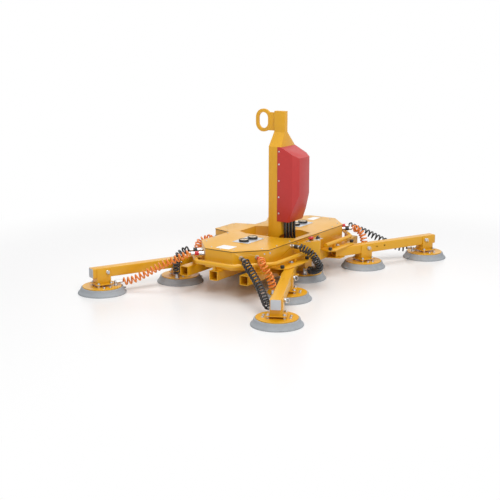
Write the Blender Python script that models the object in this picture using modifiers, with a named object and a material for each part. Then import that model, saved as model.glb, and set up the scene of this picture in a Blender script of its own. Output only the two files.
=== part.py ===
"""Battery vacuum lifter for large stone slabs.

A welded body on three square tubes carries four swivelling arms. Each arm holds two round vacuum
cups and two more hang under the middle. A lifting mast stands in a well in the middle and tilts
about a pin, so that the slab can be turned upright.

Metres, +Z up, +X along the three tubes, origin on the slab plane under the middle of the body.
"""

import math

import bmesh
import bpy
from mathutils import Matrix, Vector

# Fits between pieces
GAP = 0.0003
SWIVEL_GAP = 0.0006
WELD = 0.001

# Body tubes, which also take straight extension arms in their open ends
BODY_TUBE = 0.060
BODY_TUBE_WALL = 0.004
BODY_TUBE_LENGTH = 1.400
BODY_TUBE_SPACING = 0.220
TUBE_MID_Z = 0.130

# Tray: the welded housing that stands on the tubes
TRAY_FLOOR = 0.006
TRAY_WALL = 0.003
TRAY_TOP = 0.2757
LOBE_END_X = 0.640
LOBE_END_Y = 0.100
LOBE_SHOULDER_X = 0.470
LOBE_SIDE_Y = 0.250
BAY_ROOT_X = 0.155
BAY_END_X = 0.110
BAY_END_Y = 0.395
NOSE_LEFT = (-0.078, -0.384)
NOSE_RIGHT = (-0.050, -0.373)
WELL_X = 0.140
WELL_Y = 0.210
WELL_CORNER_X = 0.100
WELL_CORNER_Y = 0.130
BAY_INNER_Z = 0.2565
PANEL_THICKNESS = 0.0025
PANEL_MARGIN = 0.0015

# Controls on the front bay's panel, placed from the middle of its upper edge
STOP_BUTTON_PLACE = (-0.047, -0.054)
STOP_HEAD_RADIUS = 0.018
STOP_STEM_RADIUS = 0.006
STOP_TRAVEL = 0.004
SWITCH_PLACE = (-0.007, -0.080)
SWITCH_RADIUS = 0.013
SWITCH_GRIP_LENGTH = 0.028

# Lid
LID_THICKNESS = 0.004
LID_OVERHANG = 0.003

# Gauge panels on the lid
GAUGE_PANEL_X = 0.315
GAUGE_PANEL_LENGTH = 0.190
GAUGE_PANEL_WIDTH = 0.120
GAUGE_PANEL_THICKNESS = 0.002
GAUGE_SPACING = 0.100
GAUGE_RADIUS = 0.032
GAUGE_HEIGHT = 0.014

# Mast and its tilt pin
MAST_HALF_X = 0.085
MAST_REAR_Y = -0.005
MAST_DEPTH = 0.092
MAST_WALL = 0.005
MAST_TOP_Z = 0.850
NECK_HALF_X = 0.018
NECK_REAR_Y = -0.004
NECK_DEPTH = 0.077
NECK_START_Z = 0.938
NECK_TOP_Z = 1.070
FOOT_CUT = 0.050
TILT_Y = 0.060
TILT_Z = 0.232
LUG_RADIUS = 0.028
LUG_THICKNESS = 0.014
EAR_THICKNESS = 0.012
EAR_CLEARANCE = 0.0035
PIN_RADIUS = 0.012
PIN_SIDES = 16

# Lifting eye
EYE_Y = 0.086
EYE_BELOW_TOP = 0.064
EYE_Z = NECK_TOP_Z - EYE_BELOW_TOP
EYE_THICKNESS = 0.016
EYE_HALF_WIDTH = 0.056
EYE_HALF_HEIGHT = 0.0735
EYE_HOLE_HALF_WIDTH = 0.036
EYE_HOLE_HALF_HEIGHT = 0.0515

# Cover on the mast
COVER_WALL = 0.003
COVER_FLANGE = 0.026
COVER_FRONT_Y = -0.220
COVER_TOP_REAR_Z = 0.850
COVER_TOP_FRONT_Z = 0.785
COVER_KNEE_Z = 0.549
COVER_BOTTOM_Y = -0.157
COVER_BOTTOM_Z = 0.372
COVER_CORNER_X = 0.026
COVER_CORNER_Y = 0.038

# Hoses from the cover down into the well
DROP_HOSE_RADIUS = 0.009
DROP_HOSE_SPACING = 0.038
DROP_HOSE_COUNT = 4
DROP_HOSE_Y = -0.113
CLAMP_BAR_HEIGHT = 0.010
CLAMP_BAR_ABOVE = 0.016

# Tube handles round both ends
HANDLE_RADIUS = 0.0135
HANDLE_OFFSET = 0.055
HANDLE_Z = 0.200
HANDLE_BEND = 0.060
HANDLE_END_X = 0.1425

# Swivelling arms
ARM_TUBE = 0.060
ARM_WALL = 0.004
ARM_ANGLE = math.radians(25.14)
ARM_PIVOT_X = 0.300
ARM_PIVOT_Y = 0.306
ARM_ROOT = 0.034
INNER_CUP = 0.221
OUTER_CUP = 0.763
ARM_TAIL = 0.070
ARM_END = OUTER_CUP + ARM_TAIL
ARM_CAP = 0.004
SPARE_SIDE_HOLES = (0.313, 0.378)
SPARE_TOP_HOLES = (0.354, 0.405)
PIVOT_PIN_RADIUS = 0.010
PIVOT_BUSH_WALL = 0.006

# Brackets that carry the arms
BRACKET_PLATE = 0.008
BRACKET_WEB = 0.006
BRACKET_HALF_LENGTH = 0.165
BRACKET_END_Y = 0.362
BRACKET_CORNER = 0.035
BRACKET_BESIDE_BAY = 0.003
FORK_HALF = 0.058
FORK_TAPER = 0.55
FORK_REACH = 0.040
STOP_KNOB_OFFSET = 0.149
STOP_KNOB_Y = 0.334
STOP_KNOB_RADIUS = 0.013
STOP_KNOB_HEIGHT = 0.020

# Vacuum cups and the heads that hold them
CUP_RADIUS = 0.150
CUP_TOP_RADIUS = 0.1285
CUP_HEIGHT = 0.039
CUP_LIP = 0.013
CUP_RECESS = 0.0032
CUP_STEPS = 20
HEAD_PLATE_RADIUS = 0.120
HEAD_PLATE = 0.006
HEAD_BASE = 0.113
HEAD_BASE_RISE = 0.012
HEAD_STUD_RADIUS = 0.007
HEAD_STUD_OFFSET = 0.041
SADDLE_LENGTH = 0.090
SADDLE_WALL = 0.005
SADDLE_WEB = 0.007
SADDLE_TOP_Z = 0.155
SADDLE_GAP = 0.0006
OUTER_PIN_SHIFT = -0.023
INNER_PIN_SHIFT = 0.012
LOCK_PIN_Z = 0.134
LOCK_PIN_RADIUS = 0.006
LOCK_PIN_TAIL = 0.009
LOCK_PIN_HEAD = 0.012
LOCK_PIN_HEAD_RADIUS = 0.011
LOCK_RING_RADIUS = 0.013
LOCK_RING_WIRE = 0.0018

# Couplers, fittings and the curly hoses between them
COUPLER_RADIUS = 0.011
COUPLER_LENGTH = 0.085
COUPLER_Z = 0.235
COUPLER_ALONG = (0.053, 0.153)
FRONT_COUPLER_LENGTH = 0.060
FITTING_RADIUS = 0.008
HOSE_COIL_RADIUS = 0.026
HOSE_POINTS = 8
HOSE_LEAD = 0.010

# Inside the tray
BATTERY_SIZE = (0.300, 0.180, 0.080)
PUMP_RADIUS = 0.038

ZERO = Vector((0.0, 0.0, 0.0))


def turning_bore(radius, gap, sides):
    """The corner radius of a many-sided bore whose flats clear a turning pin."""
    return (radius + gap) / math.cos(math.pi / sides)


def clear_scene():
    for obj in list(bpy.data.objects):
        bpy.data.objects.remove(obj, do_unlink=True)


def make_material(name, color, roughness, metallic):
    mat = bpy.data.materials.new(name)
    mat.use_nodes = True
    shader = mat.node_tree.nodes["Principled BSDF"]
    shader.inputs["Base Color"].default_value = (*color, 1.0)
    shader.inputs["Roughness"].default_value = roughness
    shader.inputs["Metallic"].default_value = metallic
    mat.diffuse_color = (*color, 1.0)
    return mat


def link_new(name, mesh):
    obj = bpy.data.objects.new(name, mesh)
    bpy.context.scene.collection.objects.link(obj)
    return obj


def from_bmesh(name, shape):
    bmesh.ops.recalc_face_normals(shape, faces=shape.faces)
    mesh = bpy.data.meshes.new(name)
    shape.to_mesh(mesh)
    shape.free()
    return link_new(name, mesh)


def curve_to_mesh(curve_object):
    """Turns a finished curve into a closed mesh, with its loose caps welded."""
    bpy.context.view_layer.update()
    graph = bpy.context.evaluated_depsgraph_get()
    mesh = bpy.data.meshes.new_from_object(curve_object.evaluated_get(graph))
    shape = bmesh.new()
    shape.from_mesh(mesh)
    shape.transform(curve_object.matrix_world)
    bmesh.ops.remove_doubles(shape, verts=shape.verts, dist=0.00001)
    name = curve_object.name
    bpy.data.objects.remove(curve_object, do_unlink=True)
    return from_bmesh(name, shape)


def box(name, low, high):
    shape = bmesh.new()
    bmesh.ops.create_cube(shape, size=1.0)
    low = Vector(low)
    high = Vector(high)
    size = high - low
    bmesh.ops.scale(shape, vec=size, verts=shape.verts)
    bmesh.ops.translate(shape, vec=(low + high) / 2, verts=shape.verts)
    return from_bmesh(name, shape)


def cylinder(name, radius, start, end, sides=16, end_radius=None):
    """A round bar from start to end, with its first flat turned to the side."""
    start = Vector(start)
    end = Vector(end)
    axis = end - start
    shape = bmesh.new()
    bmesh.ops.create_cone(
        shape,
        cap_ends=True,
        segments=sides,
        radius1=radius,
        radius2=radius if end_radius is None else end_radius,
        depth=axis.length,
    )
    bmesh.ops.rotate(shape, cent=ZERO, matrix=axis.to_track_quat("Z", "Y").to_matrix(), verts=shape.verts)
    bmesh.ops.translate(shape, vec=(start + end) / 2, verts=shape.verts)
    return from_bmesh(name, shape)


def prism(name, outline, bottom, top):
    """A flat outline in plan, from one height to another."""
    shape = bmesh.new()
    lower = [shape.verts.new((x, y, bottom)) for x, y in outline]
    upper = [shape.verts.new((x, y, top)) for x, y in outline]
    shape.faces.new(lower)
    shape.faces.new(upper)
    for i in range(len(outline)):
        shape.faces.new((lower[i - 1], lower[i], upper[i], upper[i - 1]))
    return from_bmesh(name, shape)


def side_prism(name, outline, left, right):
    """A flat outline seen from the end (Y, Z), from one X to another."""
    obj = prism(name, outline, left, right)
    turn = Matrix(((0, 0, 1), (1, 0, 0), (0, 1, 0))).to_4x4()
    obj.data.transform(turn)
    return obj


def turned(name, profile, steps):
    """A profile of (radius, height) points, top to bottom down its outer side, turned about Z."""
    mesh = bpy.data.meshes.new(name)
    points = [(radius, 0.0, height) for radius, height in profile]
    edges = [(i, i + 1) for i in range(len(points) - 1)]
    mesh.from_pydata(points, edges, [])
    obj = link_new(name, mesh)
    screw = obj.modifiers.new("turn", "SCREW")
    screw.steps = steps
    screw.render_steps = steps
    screw.use_merge_vertices = True
    screw.merge_threshold = 0.00001
    return bake(obj)


def bake(obj):
    """Replaces an object's mesh with the one that its modifiers make."""
    bpy.context.view_layer.update()
    graph = bpy.context.evaluated_depsgraph_get()
    mesh = bpy.data.meshes.new_from_object(obj.evaluated_get(graph))
    obj.modifiers.clear()
    obj.data = mesh
    return obj


def combine(target, pieces, operation):
    for piece in pieces:
        modifier = target.modifiers.new("combine", "BOOLEAN")
        modifier.operation = operation
        modifier.object = piece
    bake(target)
    for piece in pieces:
        bpy.data.objects.remove(piece, do_unlink=True)
    return target


def join(target, *pieces):
    return combine(target, pieces, "UNION")


def cut(target, *pieces):
    return combine(target, pieces, "DIFFERENCE")


def smooth_tube(name, points, radius, resolution):
    """A round tube along a list of points, as a closed mesh."""
    curve = bpy.data.curves.new(name, "CURVE")
    curve.dimensions = "3D"
    curve.bevel_depth = radius
    curve.bevel_resolution = resolution
    curve.use_fill_caps = True
    spline = curve.splines.new("POLY")
    spline.points.add(len(points) - 1)
    for point, place in zip(spline.points, points):
        point.co = (*place, 1.0)
    return curve_to_mesh(link_new(name, curve))


def route_points(route, count):
    """Evenly spaced points on a smooth curve through a route, whose first and last points only lead."""
    fine = []
    for i in range(1, len(route) - 2):
        p0, p1, p2, p3 = route[i - 1:i + 3]
        for step in range(24):
            t = step / 24
            fine.append(
                p1
                + (p2 - p0) * (t / 2)
                + (p0 * 2 - p1 * 5 + p2 * 4 - p3) * (t * t / 2)
                + (p1 * 3 - p0 - p2 * 3 + p3) * (t * t * t / 2)
            )
    fine.append(route[-2])
    lengths = [0.0]
    for a, b in zip(fine, fine[1:]):
        lengths.append(lengths[-1] + (b - a).length)
    points = []
    segment = 0
    for i in range(count):
        goal = lengths[-1] * i / (count - 1)
        while segment < len(fine) - 2 and lengths[segment + 1] < goal:
            segment += 1
        share = (goal - lengths[segment]) / (lengths[segment + 1] - lengths[segment])
        points.append(fine[segment].lerp(fine[segment + 1], min(share, 1.0)))
    return points


def hose_points(start, start_way, middle, end, end_way, count):
    """A hose's points: straight off both of its seats, and smooth through the middle points."""
    leads = [start + start_way * HOSE_LEAD, *middle, end + end_way * HOSE_LEAD]
    return [start, *route_points([start, *leads, end], count), end]


def bent_points(corners, radius, steps):
    """A path of straight runs between corners, with each corner rounded to a radius."""
    points = [corners[0]]
    for before, corner, after in zip(corners, corners[1:], corners[2:]):
        back = (before - corner).normalized()
        ahead = (after - corner).normalized()
        half = back.angle(ahead) / 2
        reach = radius / math.tan(half)
        centre = corner + (back + ahead).normalized() * (radius / math.sin(half))
        start = corner + back * reach - centre
        end = corner + ahead * reach - centre
        for step in range(steps + 1):
            points.append(centre + arc_point(start, end, step / steps))
    points.append(corners[-1])
    return points


def arc_point(start, end, share):
    """A point on the arc from start to end about the origin."""
    angle = start.angle(end)
    return (start * math.sin((1 - share) * angle) + end * math.sin(share * angle)) / math.sin(angle)


def mirrored(obj, sign_x, sign_y):
    """Mirrors a piece that was made in the +X +Y quarter into another quarter."""
    obj.data.transform(Matrix.Diagonal((sign_x, sign_y, 1.0, 1.0)))
    if sign_x * sign_y < 0:
        obj.data.flip_normals()
    return obj


def inset(outline, distance):
    """Moves each side of an anticlockwise outline inwards, or outwards if the distance is negative."""
    moved = []
    count = len(outline)
    for i in range(count):
        before = Vector(outline[i - 1])
        corner = Vector(outline[i])
        after = Vector(outline[(i + 1) % count])
        side_in = (corner - before).normalized()
        side_out = (after - corner).normalized()
        normal_in = Vector((-side_in.y, side_in.x))
        normal_out = Vector((-side_out.y, side_out.x))
        middle = (normal_in + normal_out).normalized()
        moved.append(corner + middle * (distance / middle.dot(normal_in)))
    return [(point.x, point.y) for point in moved]


def finish(obj, mat, origin=ZERO, parent=None, smooth=True):
    """Gives a piece its origin, material, shading and parent."""
    origin = Vector(origin)
    obj.data.transform(Matrix.Translation(-origin))
    obj.location = origin
    if parent is not None:
        obj.parent = parent
    obj.data.materials.clear()
    obj.data.materials.append(mat)
    if smooth:
        obj.data.shade_smooth()
        obj.data.set_sharp_from_angle(angle=math.radians(35))
    for collection in list(obj.users_collection):
        collection.objects.unlink(obj)
    bpy.data.collections["battery_vacuum_lifter"].objects.link(obj)
    return obj


def rest_empty(name, place, angle=0.0):
    empty = bpy.data.objects.new(name, None)
    empty.location = place
    empty.rotation_euler = (0.0, 0.0, angle)
    bpy.data.collections["battery_vacuum_lifter"].objects.link(empty)
    return empty


def half_tube():
    return BODY_TUBE / 2


def tube_top():
    return TUBE_MID_Z + BODY_TUBE / 2


def tray_bottom():
    return tube_top() + GAP


def tray_floor_top():
    return tray_bottom() + TRAY_FLOOR


def tray_outline():
    """The tray in plan: two lobes, a wide rear bay and a slanted front bay."""
    lobe = [
        (LOBE_END_X, LOBE_END_Y),
        (LOBE_SHOULDER_X, LOBE_SIDE_Y),
        (BAY_ROOT_X, LOBE_SIDE_Y),
    ]
    rear_right = [*lobe, (BAY_END_X, BAY_END_Y)]
    rear_left = [(-x, y) for x, y in reversed(rear_right)]
    front_left = [(-x, -y) for x, y in lobe]
    front_right = [(x, -y) for x, y in reversed(lobe)]
    return rear_right + rear_left + front_left + [NOSE_LEFT, NOSE_RIGHT] + front_right


def lid_outline():
    """The tray's outline without the front bay, which has its own panel."""
    roots = [(-BAY_ROOT_X, -LOBE_SIDE_Y), (BAY_ROOT_X, -LOBE_SIDE_Y)]
    front_bay = [*roots, NOSE_LEFT, NOSE_RIGHT]
    return [point for point in tray_outline() if point not in front_bay]


def well_outline():
    quarter = [(WELL_X, WELL_CORNER_Y), (WELL_CORNER_X, WELL_Y)]
    rear = quarter + [(-x, y) for x, y in reversed(quarter)]
    return rear + [(-x, -y) for x, y in rear]


def end_panel_normal():
    along = Vector((LOBE_SHOULDER_X - LOBE_END_X, LOBE_SIDE_Y - LOBE_END_Y, 0.0)).normalized()
    return Vector((along.y, -along.x, 0.0))


def coupler_start(along):
    """A coupler's foot on the end panel of the +X +Y quarter, a distance from its outer corner."""
    corner = Vector((LOBE_END_X, LOBE_END_Y, COUPLER_Z))
    side = Vector((LOBE_SHOULDER_X, LOBE_SIDE_Y, COUPLER_Z)) - corner
    return corner + side.normalized() * along


def coupler_end(along):
    return coupler_start(along) + end_panel_normal() * COUPLER_LENGTH


def front_coupler():
    """Foot and end of the coupler for the front middle cup, on the tray's front side."""
    foot = Vector((-0.205, -LOBE_SIDE_Y, 0.253))
    return foot, foot + Vector((0.0, -FRONT_COUPLER_LENGTH, -0.002))


def rear_coupler():
    """Foot and end of the coupler for the rear middle cup, on the bay's slanted side."""
    share = 0.48
    foot = Vector((
        -BAY_ROOT_X + (BAY_ROOT_X - BAY_END_X) * share,
        LOBE_SIDE_Y + (BAY_END_Y - LOBE_SIDE_Y) * share,
        0.240,
    ))
    slant = Vector((BAY_ROOT_X - BAY_END_X, BAY_END_Y - LOBE_SIDE_Y, 0.0)).normalized()
    return foot, foot + Vector((-slant.y, slant.x, 0.0)) * COUPLER_LENGTH


def make_tray(mats):
    outline = tray_outline()
    floor = tray_floor_top()
    tray = prism("housing", outline, tray_bottom(), TRAY_TOP)
    room = prism("room", inset(outline, TRAY_WALL), floor, TRAY_TOP + 0.02)
    cut(tray, room)
    ring = prism("well_wall", inset(well_outline(), -TRAY_WALL), floor - WELD, TRAY_TOP)
    ribs = []
    rib_top = TRAY_TOP - 0.010
    for sign_x in (-1, 1):
        for sign_y in (-1, 1):
            inner = WELL_CORNER_Y - 0.020
            low_y, high_y = sorted((sign_y * inner, sign_y * (LOBE_SIDE_Y - WELD)))
            low_x, high_x = sorted((sign_x * (WELL_X + 0.0005), sign_x * (WELL_X + TRAY_WALL - 0.0005)))
            ribs.append(box("rib", (low_x, low_y, floor - WELD), (high_x, high_y, rib_top)))
    bay_wall = box(
        "bay_wall",
        (-BAY_ROOT_X - 0.002, -LOBE_SIDE_Y + 0.0004, floor - WELD),
        (BAY_ROOT_X + 0.002, -LOBE_SIDE_Y + TRAY_WALL - 0.0004, TRAY_TOP - 0.0005),
    )
    join(tray, ring, bay_wall, *ribs)
    well = prism("well", well_outline(), floor, TRAY_TOP + 0.02)
    slope = side_prism(
        "bay_slope",
        [
            (-LOBE_SIDE_Y - 0.0005, BAY_INNER_Z),
            (-LOBE_SIDE_Y - 0.0005, TRAY_TOP + 0.02),
            (NOSE_LEFT[1] - 0.010, TRAY_TOP + 0.02),
            (NOSE_LEFT[1] - 0.010, TRAY_TOP + bay_slope() * 0.010),
        ],
        -BAY_ROOT_X - 0.02,
        BAY_ROOT_X + 0.02,
    )
    cut(tray, well, slope)
    join(tray, *tilt_ears(floor), *tray_couplers())
    return finish(tray, mats["yellow"])


def bay_slope():
    return (TRAY_TOP - BAY_INNER_Z) / (-NOSE_LEFT[1] - LOBE_SIDE_Y)


def tilt_ears(floor):
    """Two upright plates beside the mast's foot, which carry the tilt pin."""
    ears = []
    steps = 12
    arc = [
        (
            TILT_Y + LUG_RADIUS * math.cos(math.pi * i / steps),
            TILT_Z + LUG_RADIUS * math.sin(math.pi * i / steps),
        )
        for i in range(steps + 1)
    ]
    spread = 0.012
    outline = [
        (TILT_Y + LUG_RADIUS + spread, floor - WELD),
        *arc,
        (TILT_Y - LUG_RADIUS - spread, floor - WELD),
    ]
    inner = MAST_HALF_X + EAR_CLEARANCE
    for sign in (-1, 1):
        left, right = sorted((sign * inner, sign * (inner + EAR_THICKNESS)))
        ear = side_prism("ear", outline, left, right)
        hole = cylinder(
            "ear_hole",
            PIN_RADIUS + GAP,
            (left - 0.01, TILT_Y, TILT_Z),
            (right + 0.01, TILT_Y, TILT_Z),
            PIN_SIDES,
        )
        ears.append(cut(ear, hole))
    return ears


def tray_couplers():
    """Hose couplers on the four end panels and beside both bays."""
    pieces = []
    sunk = end_panel_normal() * -(TRAY_WALL / 2)
    for sign_x in (-1, 1):
        for sign_y in (-1, 1):
            for along in COUPLER_ALONG:
                piece = cylinder("coupler", COUPLER_RADIUS, coupler_start(along) + sunk, coupler_end(along), 8)
                pieces.append(mirrored(piece, sign_x, sign_y))
    for foot, end in (front_coupler(), rear_coupler()):
        inward = (foot - end).normalized() * (TRAY_WALL / 2)
        pieces.append(cylinder("coupler", COUPLER_RADIUS, foot + inward, end, 8))
    return pieces


def make_lid(mats):
    bottom = TRAY_TOP + GAP
    lid = prism("lid", inset(lid_outline(), -LID_OVERHANG), bottom, bottom + LID_THICKNESS)
    well = prism("lid_well", well_outline(), bottom - 0.01, bottom + 0.02)
    cut(lid, well)
    return finish(lid, mats["yellow"])


def tilt_onto_bay():
    """Moves a piece made flat, at the panel's upper edge, onto the bay's sloping walls."""
    edge = Matrix.Translation((0.0, -LOBE_SIDE_Y, BAY_INNER_Z + GAP))
    return edge @ Matrix.Rotation(-math.atan(bay_slope()), 4, "X")


def make_control_panel(mats):
    """The plate that covers the front bay, with a bore for the stop button and a switch knob."""
    stretch = math.hypot(1.0, bay_slope())
    bay = [(-BAY_ROOT_X, -LOBE_SIDE_Y), NOSE_LEFT, NOSE_RIGHT, (BAY_ROOT_X, -LOBE_SIDE_Y)]
    outline = [(x, (y + LOBE_SIDE_Y) * stretch) for x, y in bay]
    panel = prism("control_panel", inset(outline, PANEL_MARGIN), 0.0, PANEL_THICKNESS)
    button_x, button_y = STOP_BUTTON_PLACE
    bore = STOP_STEM_RADIUS + GAP
    cut(panel, cylinder("bore", bore, (button_x, button_y, -0.01), (button_x, button_y, 0.01), 12))
    knob_x, knob_y = SWITCH_PLACE
    foot = (knob_x, knob_y, PANEL_THICKNESS - WELD)
    knob = cylinder("knob", SWITCH_RADIUS, foot, (knob_x, knob_y, 0.018), 12)
    reach = SWITCH_GRIP_LENGTH / 2
    grip = box("grip", (knob_x - reach, knob_y - 0.005, 0.012), (knob_x + reach, knob_y + 0.005, 0.024))
    join(panel, join(knob, grip))
    panel.data.transform(tilt_onto_bay())
    return finish(panel, mats["yellow"])


def make_stop_button(mats):
    """A mushroom button whose stem slides in the panel."""
    face = PANEL_THICKNESS
    profile = [
        (0.0, face + 0.024),
        (0.014, face + 0.022),
        (STOP_HEAD_RADIUS, face + 0.017),
        (STOP_HEAD_RADIUS, face + STOP_TRAVEL + 0.006),
        (0.010, face + STOP_TRAVEL + GAP),
        (STOP_STEM_RADIUS, face + STOP_TRAVEL + GAP),
        (STOP_STEM_RADIUS, face - 0.014),
        (0.0, face - 0.014),
    ]
    button = turned("stop_button", profile, 16)
    place = tilt_onto_bay() @ Matrix.Translation((*STOP_BUTTON_PLACE, 0.0))
    button.data.transform(place)
    return finish(button, mats["button"], origin=place.translation)


def make_gauge_panel(name, sign, mats):
    """A plate on the lid with two vacuum gauges."""
    bottom = TRAY_TOP + GAP + LID_THICKNESS + GAP
    half_length = GAUGE_PANEL_LENGTH / 2
    half_width = GAUGE_PANEL_WIDTH / 2
    centre = sign * GAUGE_PANEL_X
    plate = box(
        name,
        (centre - half_length, -half_width, bottom),
        (centre + half_length, half_width, bottom + GAUGE_PANEL_THICKNESS),
    )
    face = bottom + GAUGE_PANEL_THICKNESS
    for offset in (-GAUGE_SPACING / 2, GAUGE_SPACING / 2):
        low = (centre + offset, 0.0, face - WELD)
        high = (centre + offset, 0.0, face + GAUGE_HEIGHT)
        gauge = cylinder("gauge", GAUGE_RADIUS, low, high, 20)
        join(plate, gauge)
    return finish(plate, mats["steel"])


def make_battery(mats):
    """A sealed battery with two terminals, in the left lobe."""
    floor = tray_floor_top() + GAP
    centre_x = -(WELL_X + TRAY_WALL + LOBE_SHOULDER_X) / 2 - 0.020
    length, width, height = BATTERY_SIZE
    low = (centre_x - length / 2, -width / 2, floor)
    high = (centre_x + length / 2, width / 2, floor + height)
    battery = box("battery", low, high)
    for side in (-1, 1):
        post = (centre_x + length / 2 - 0.035, side * (width / 2 - 0.035), floor + height)
        foot = Vector(post) - Vector((0.0, 0.0, WELD))
        join(battery, cylinder("terminal", 0.008, foot, foot + Vector((0.0, 0.0, 0.010)), 12))
    return finish(battery, mats["plastic"])


def make_pump(mats):
    """A vacuum pump in the right lobe: motor, head and foot plate."""
    floor = tray_floor_top() + GAP
    foot = box("vacuum_pump", (0.190, -0.070, floor), (0.470, 0.070, floor + 0.006))
    axis_z = floor + 0.005 + PUMP_RADIUS
    motor = cylinder("motor", PUMP_RADIUS, (0.205, 0.0, axis_z), (0.372, 0.0, axis_z), 24)
    head = box("head", (0.365, -0.060, floor + 0.005), (0.455, 0.060, floor + 0.080))
    return finish(join(foot, motor, head), mats["aluminium"])


def make_centre_tube(mats):
    return finish(square_tube("centre_tube", 0.0), mats["yellow"])


def square_tube(name, mid_y):
    half_length = BODY_TUBE_LENGTH / 2
    outer = half_tube()
    inner = outer - BODY_TUBE_WALL
    tube = box(
        name,
        (-half_length, mid_y - outer, TUBE_MID_Z - outer),
        (half_length, mid_y + outer, TUBE_MID_Z + outer),
    )
    hollow = box(
        "hollow",
        (-half_length - 0.01, mid_y - inner, TUBE_MID_Z - inner),
        (half_length + 0.01, mid_y + inner, TUBE_MID_Z + inner),
    )
    return cut(tube, hollow)


def make_side_tube(name, sign_y, mats):
    tube = square_tube(name, sign_y * BODY_TUBE_SPACING)
    for sign_x in (-1, 1):
        pieces = [mirrored(piece, sign_x, sign_y) for piece in arm_bracket()]
        join(tube, *pieces)
    return finish(tube, mats["yellow"])


def bay_side_x(y):
    """Half the width of a bay at a distance from the middle."""
    return BAY_ROOT_X + (BAY_END_X - BAY_ROOT_X) * (y - LOBE_SIDE_Y) / (BAY_END_Y - LOBE_SIDE_Y)


def arm_bracket():
    """The fork that carries one arm, with its pivot pin and stop knobs, in the +X +Y quarter."""
    tube_side = BODY_TUBE_SPACING + half_tube()
    arm_top = TUBE_MID_Z + ARM_TUBE / 2
    arm_bottom = TUBE_MID_Z - ARM_TUBE / 2
    upper = arm_top + SWIVEL_GAP
    lower = arm_bottom - SWIVEL_GAP
    plate_start = LOBE_SIDE_Y + LID_OVERHANG / 3
    left = ARM_PIVOT_X - BRACKET_HALF_LENGTH
    right = ARM_PIVOT_X + BRACKET_HALF_LENGTH
    corner_y = BRACKET_END_Y - BRACKET_CORNER
    beside_bay = bay_side_x(plate_start) + BRACKET_BESIDE_BAY
    top_plate = prism(
        "top_plate",
        [
            (beside_bay, plate_start),
            (right, plate_start),
            (right, corner_y),
            (right - BRACKET_CORNER, BRACKET_END_Y),
            (left + BRACKET_CORNER, BRACKET_END_Y),
            (bay_side_x(corner_y) + BRACKET_BESIDE_BAY, corner_y),
        ],
        upper,
        upper + BRACKET_PLATE,
    )
    fork_end = FORK_HALF * FORK_TAPER
    bottom_plate = prism(
        "bottom_plate",
        [
            (ARM_PIVOT_X - FORK_HALF, plate_start),
            (ARM_PIVOT_X + FORK_HALF, plate_start),
            (ARM_PIVOT_X + fork_end, ARM_PIVOT_Y + FORK_REACH),
            (ARM_PIVOT_X - fork_end, ARM_PIVOT_Y + FORK_REACH),
        ],
        lower - BRACKET_PLATE,
        lower,
    )
    web = box(
        "web",
        (left + 0.001, tube_side - WELD, lower - BRACKET_PLATE + 0.001),
        (right - 0.001, tube_side + BRACKET_WEB, tube_top() - WELD / 2),
    )
    riser = box(
        "riser",
        (beside_bay + 0.0005, plate_start + 0.0002, arm_bottom),
        (right - 0.0015, tube_side + BRACKET_WEB - 0.0003, upper + 0.002),
    )
    pin = cylinder(
        "pivot",
        PIVOT_PIN_RADIUS,
        (ARM_PIVOT_X, ARM_PIVOT_Y, lower - BRACKET_PLATE - 0.006),
        (ARM_PIVOT_X, ARM_PIVOT_Y, upper + BRACKET_PLATE + 0.008),
        PIN_SIDES,
    )
    pieces = [top_plate, bottom_plate, web, riser, pin]
    for offset in (-STOP_KNOB_OFFSET, STOP_KNOB_OFFSET):
        foot = (ARM_PIVOT_X + offset, STOP_KNOB_Y, upper + BRACKET_PLATE - WELD)
        head = (ARM_PIVOT_X + offset, STOP_KNOB_Y, upper + BRACKET_PLATE + STOP_KNOB_HEIGHT)
        pieces.append(cylinder("stop_knob", STOP_KNOB_RADIUS, foot, head, 8))
    return pieces


def make_mast(mats):
    """A box mast that tapers to a neck, with two lugs for the tilt pin."""
    foot = tray_floor_top() + GAP
    front = MAST_REAR_Y - MAST_DEPTH
    mast = mast_shell("mast", 0.0, foot)
    hollow = mast_shell("hollow", MAST_WALL, foot - 0.02)
    cut(mast, hollow)
    foot_corner = side_prism(
        "foot_corner",
        [
            (front - 0.01, foot - 0.03),
            (front + FOOT_CUT, foot - 0.03),
            (front + FOOT_CUT, TILT_Z + 0.003),
            (front, TILT_Z + 0.003 + FOOT_CUT),
            (front - 0.01, TILT_Z + 0.003 + FOOT_CUT),
        ],
        -MAST_HALF_X - 0.01,
        MAST_HALF_X + 0.01,
    )
    cut(mast, foot_corner)
    steps = 12
    arc = [
        (
            TILT_Y - LUG_RADIUS * math.sin(math.pi * i / steps - math.pi),
            TILT_Z - LUG_RADIUS * math.cos(math.pi * i / steps - math.pi),
        )
        for i in range(steps + 1)
    ]
    root = MAST_REAR_Y - MAST_WALL / 2
    outline = [(root, TILT_Z + LUG_RADIUS + 0.020), *arc, (root, TILT_Z - LUG_RADIUS)]
    for sign in (-1, 1):
        outer = MAST_HALF_X - 0.0003
        left, right = sorted((sign * outer, sign * (outer - LUG_THICKNESS)))
        join(mast, side_prism("lug", outline, left, right))
    pin_hole = cylinder(
        "pin_hole",
        turning_bore(PIN_RADIUS, GAP, PIN_SIDES),
        (-MAST_HALF_X - 0.01, TILT_Y, TILT_Z),
        (MAST_HALF_X + 0.01, TILT_Y, TILT_Z),
        PIN_SIDES,
    )
    cut(mast, pin_hole)
    return finish(mast, mats["yellow"], origin=(0.0, TILT_Y, TILT_Z))


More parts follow.
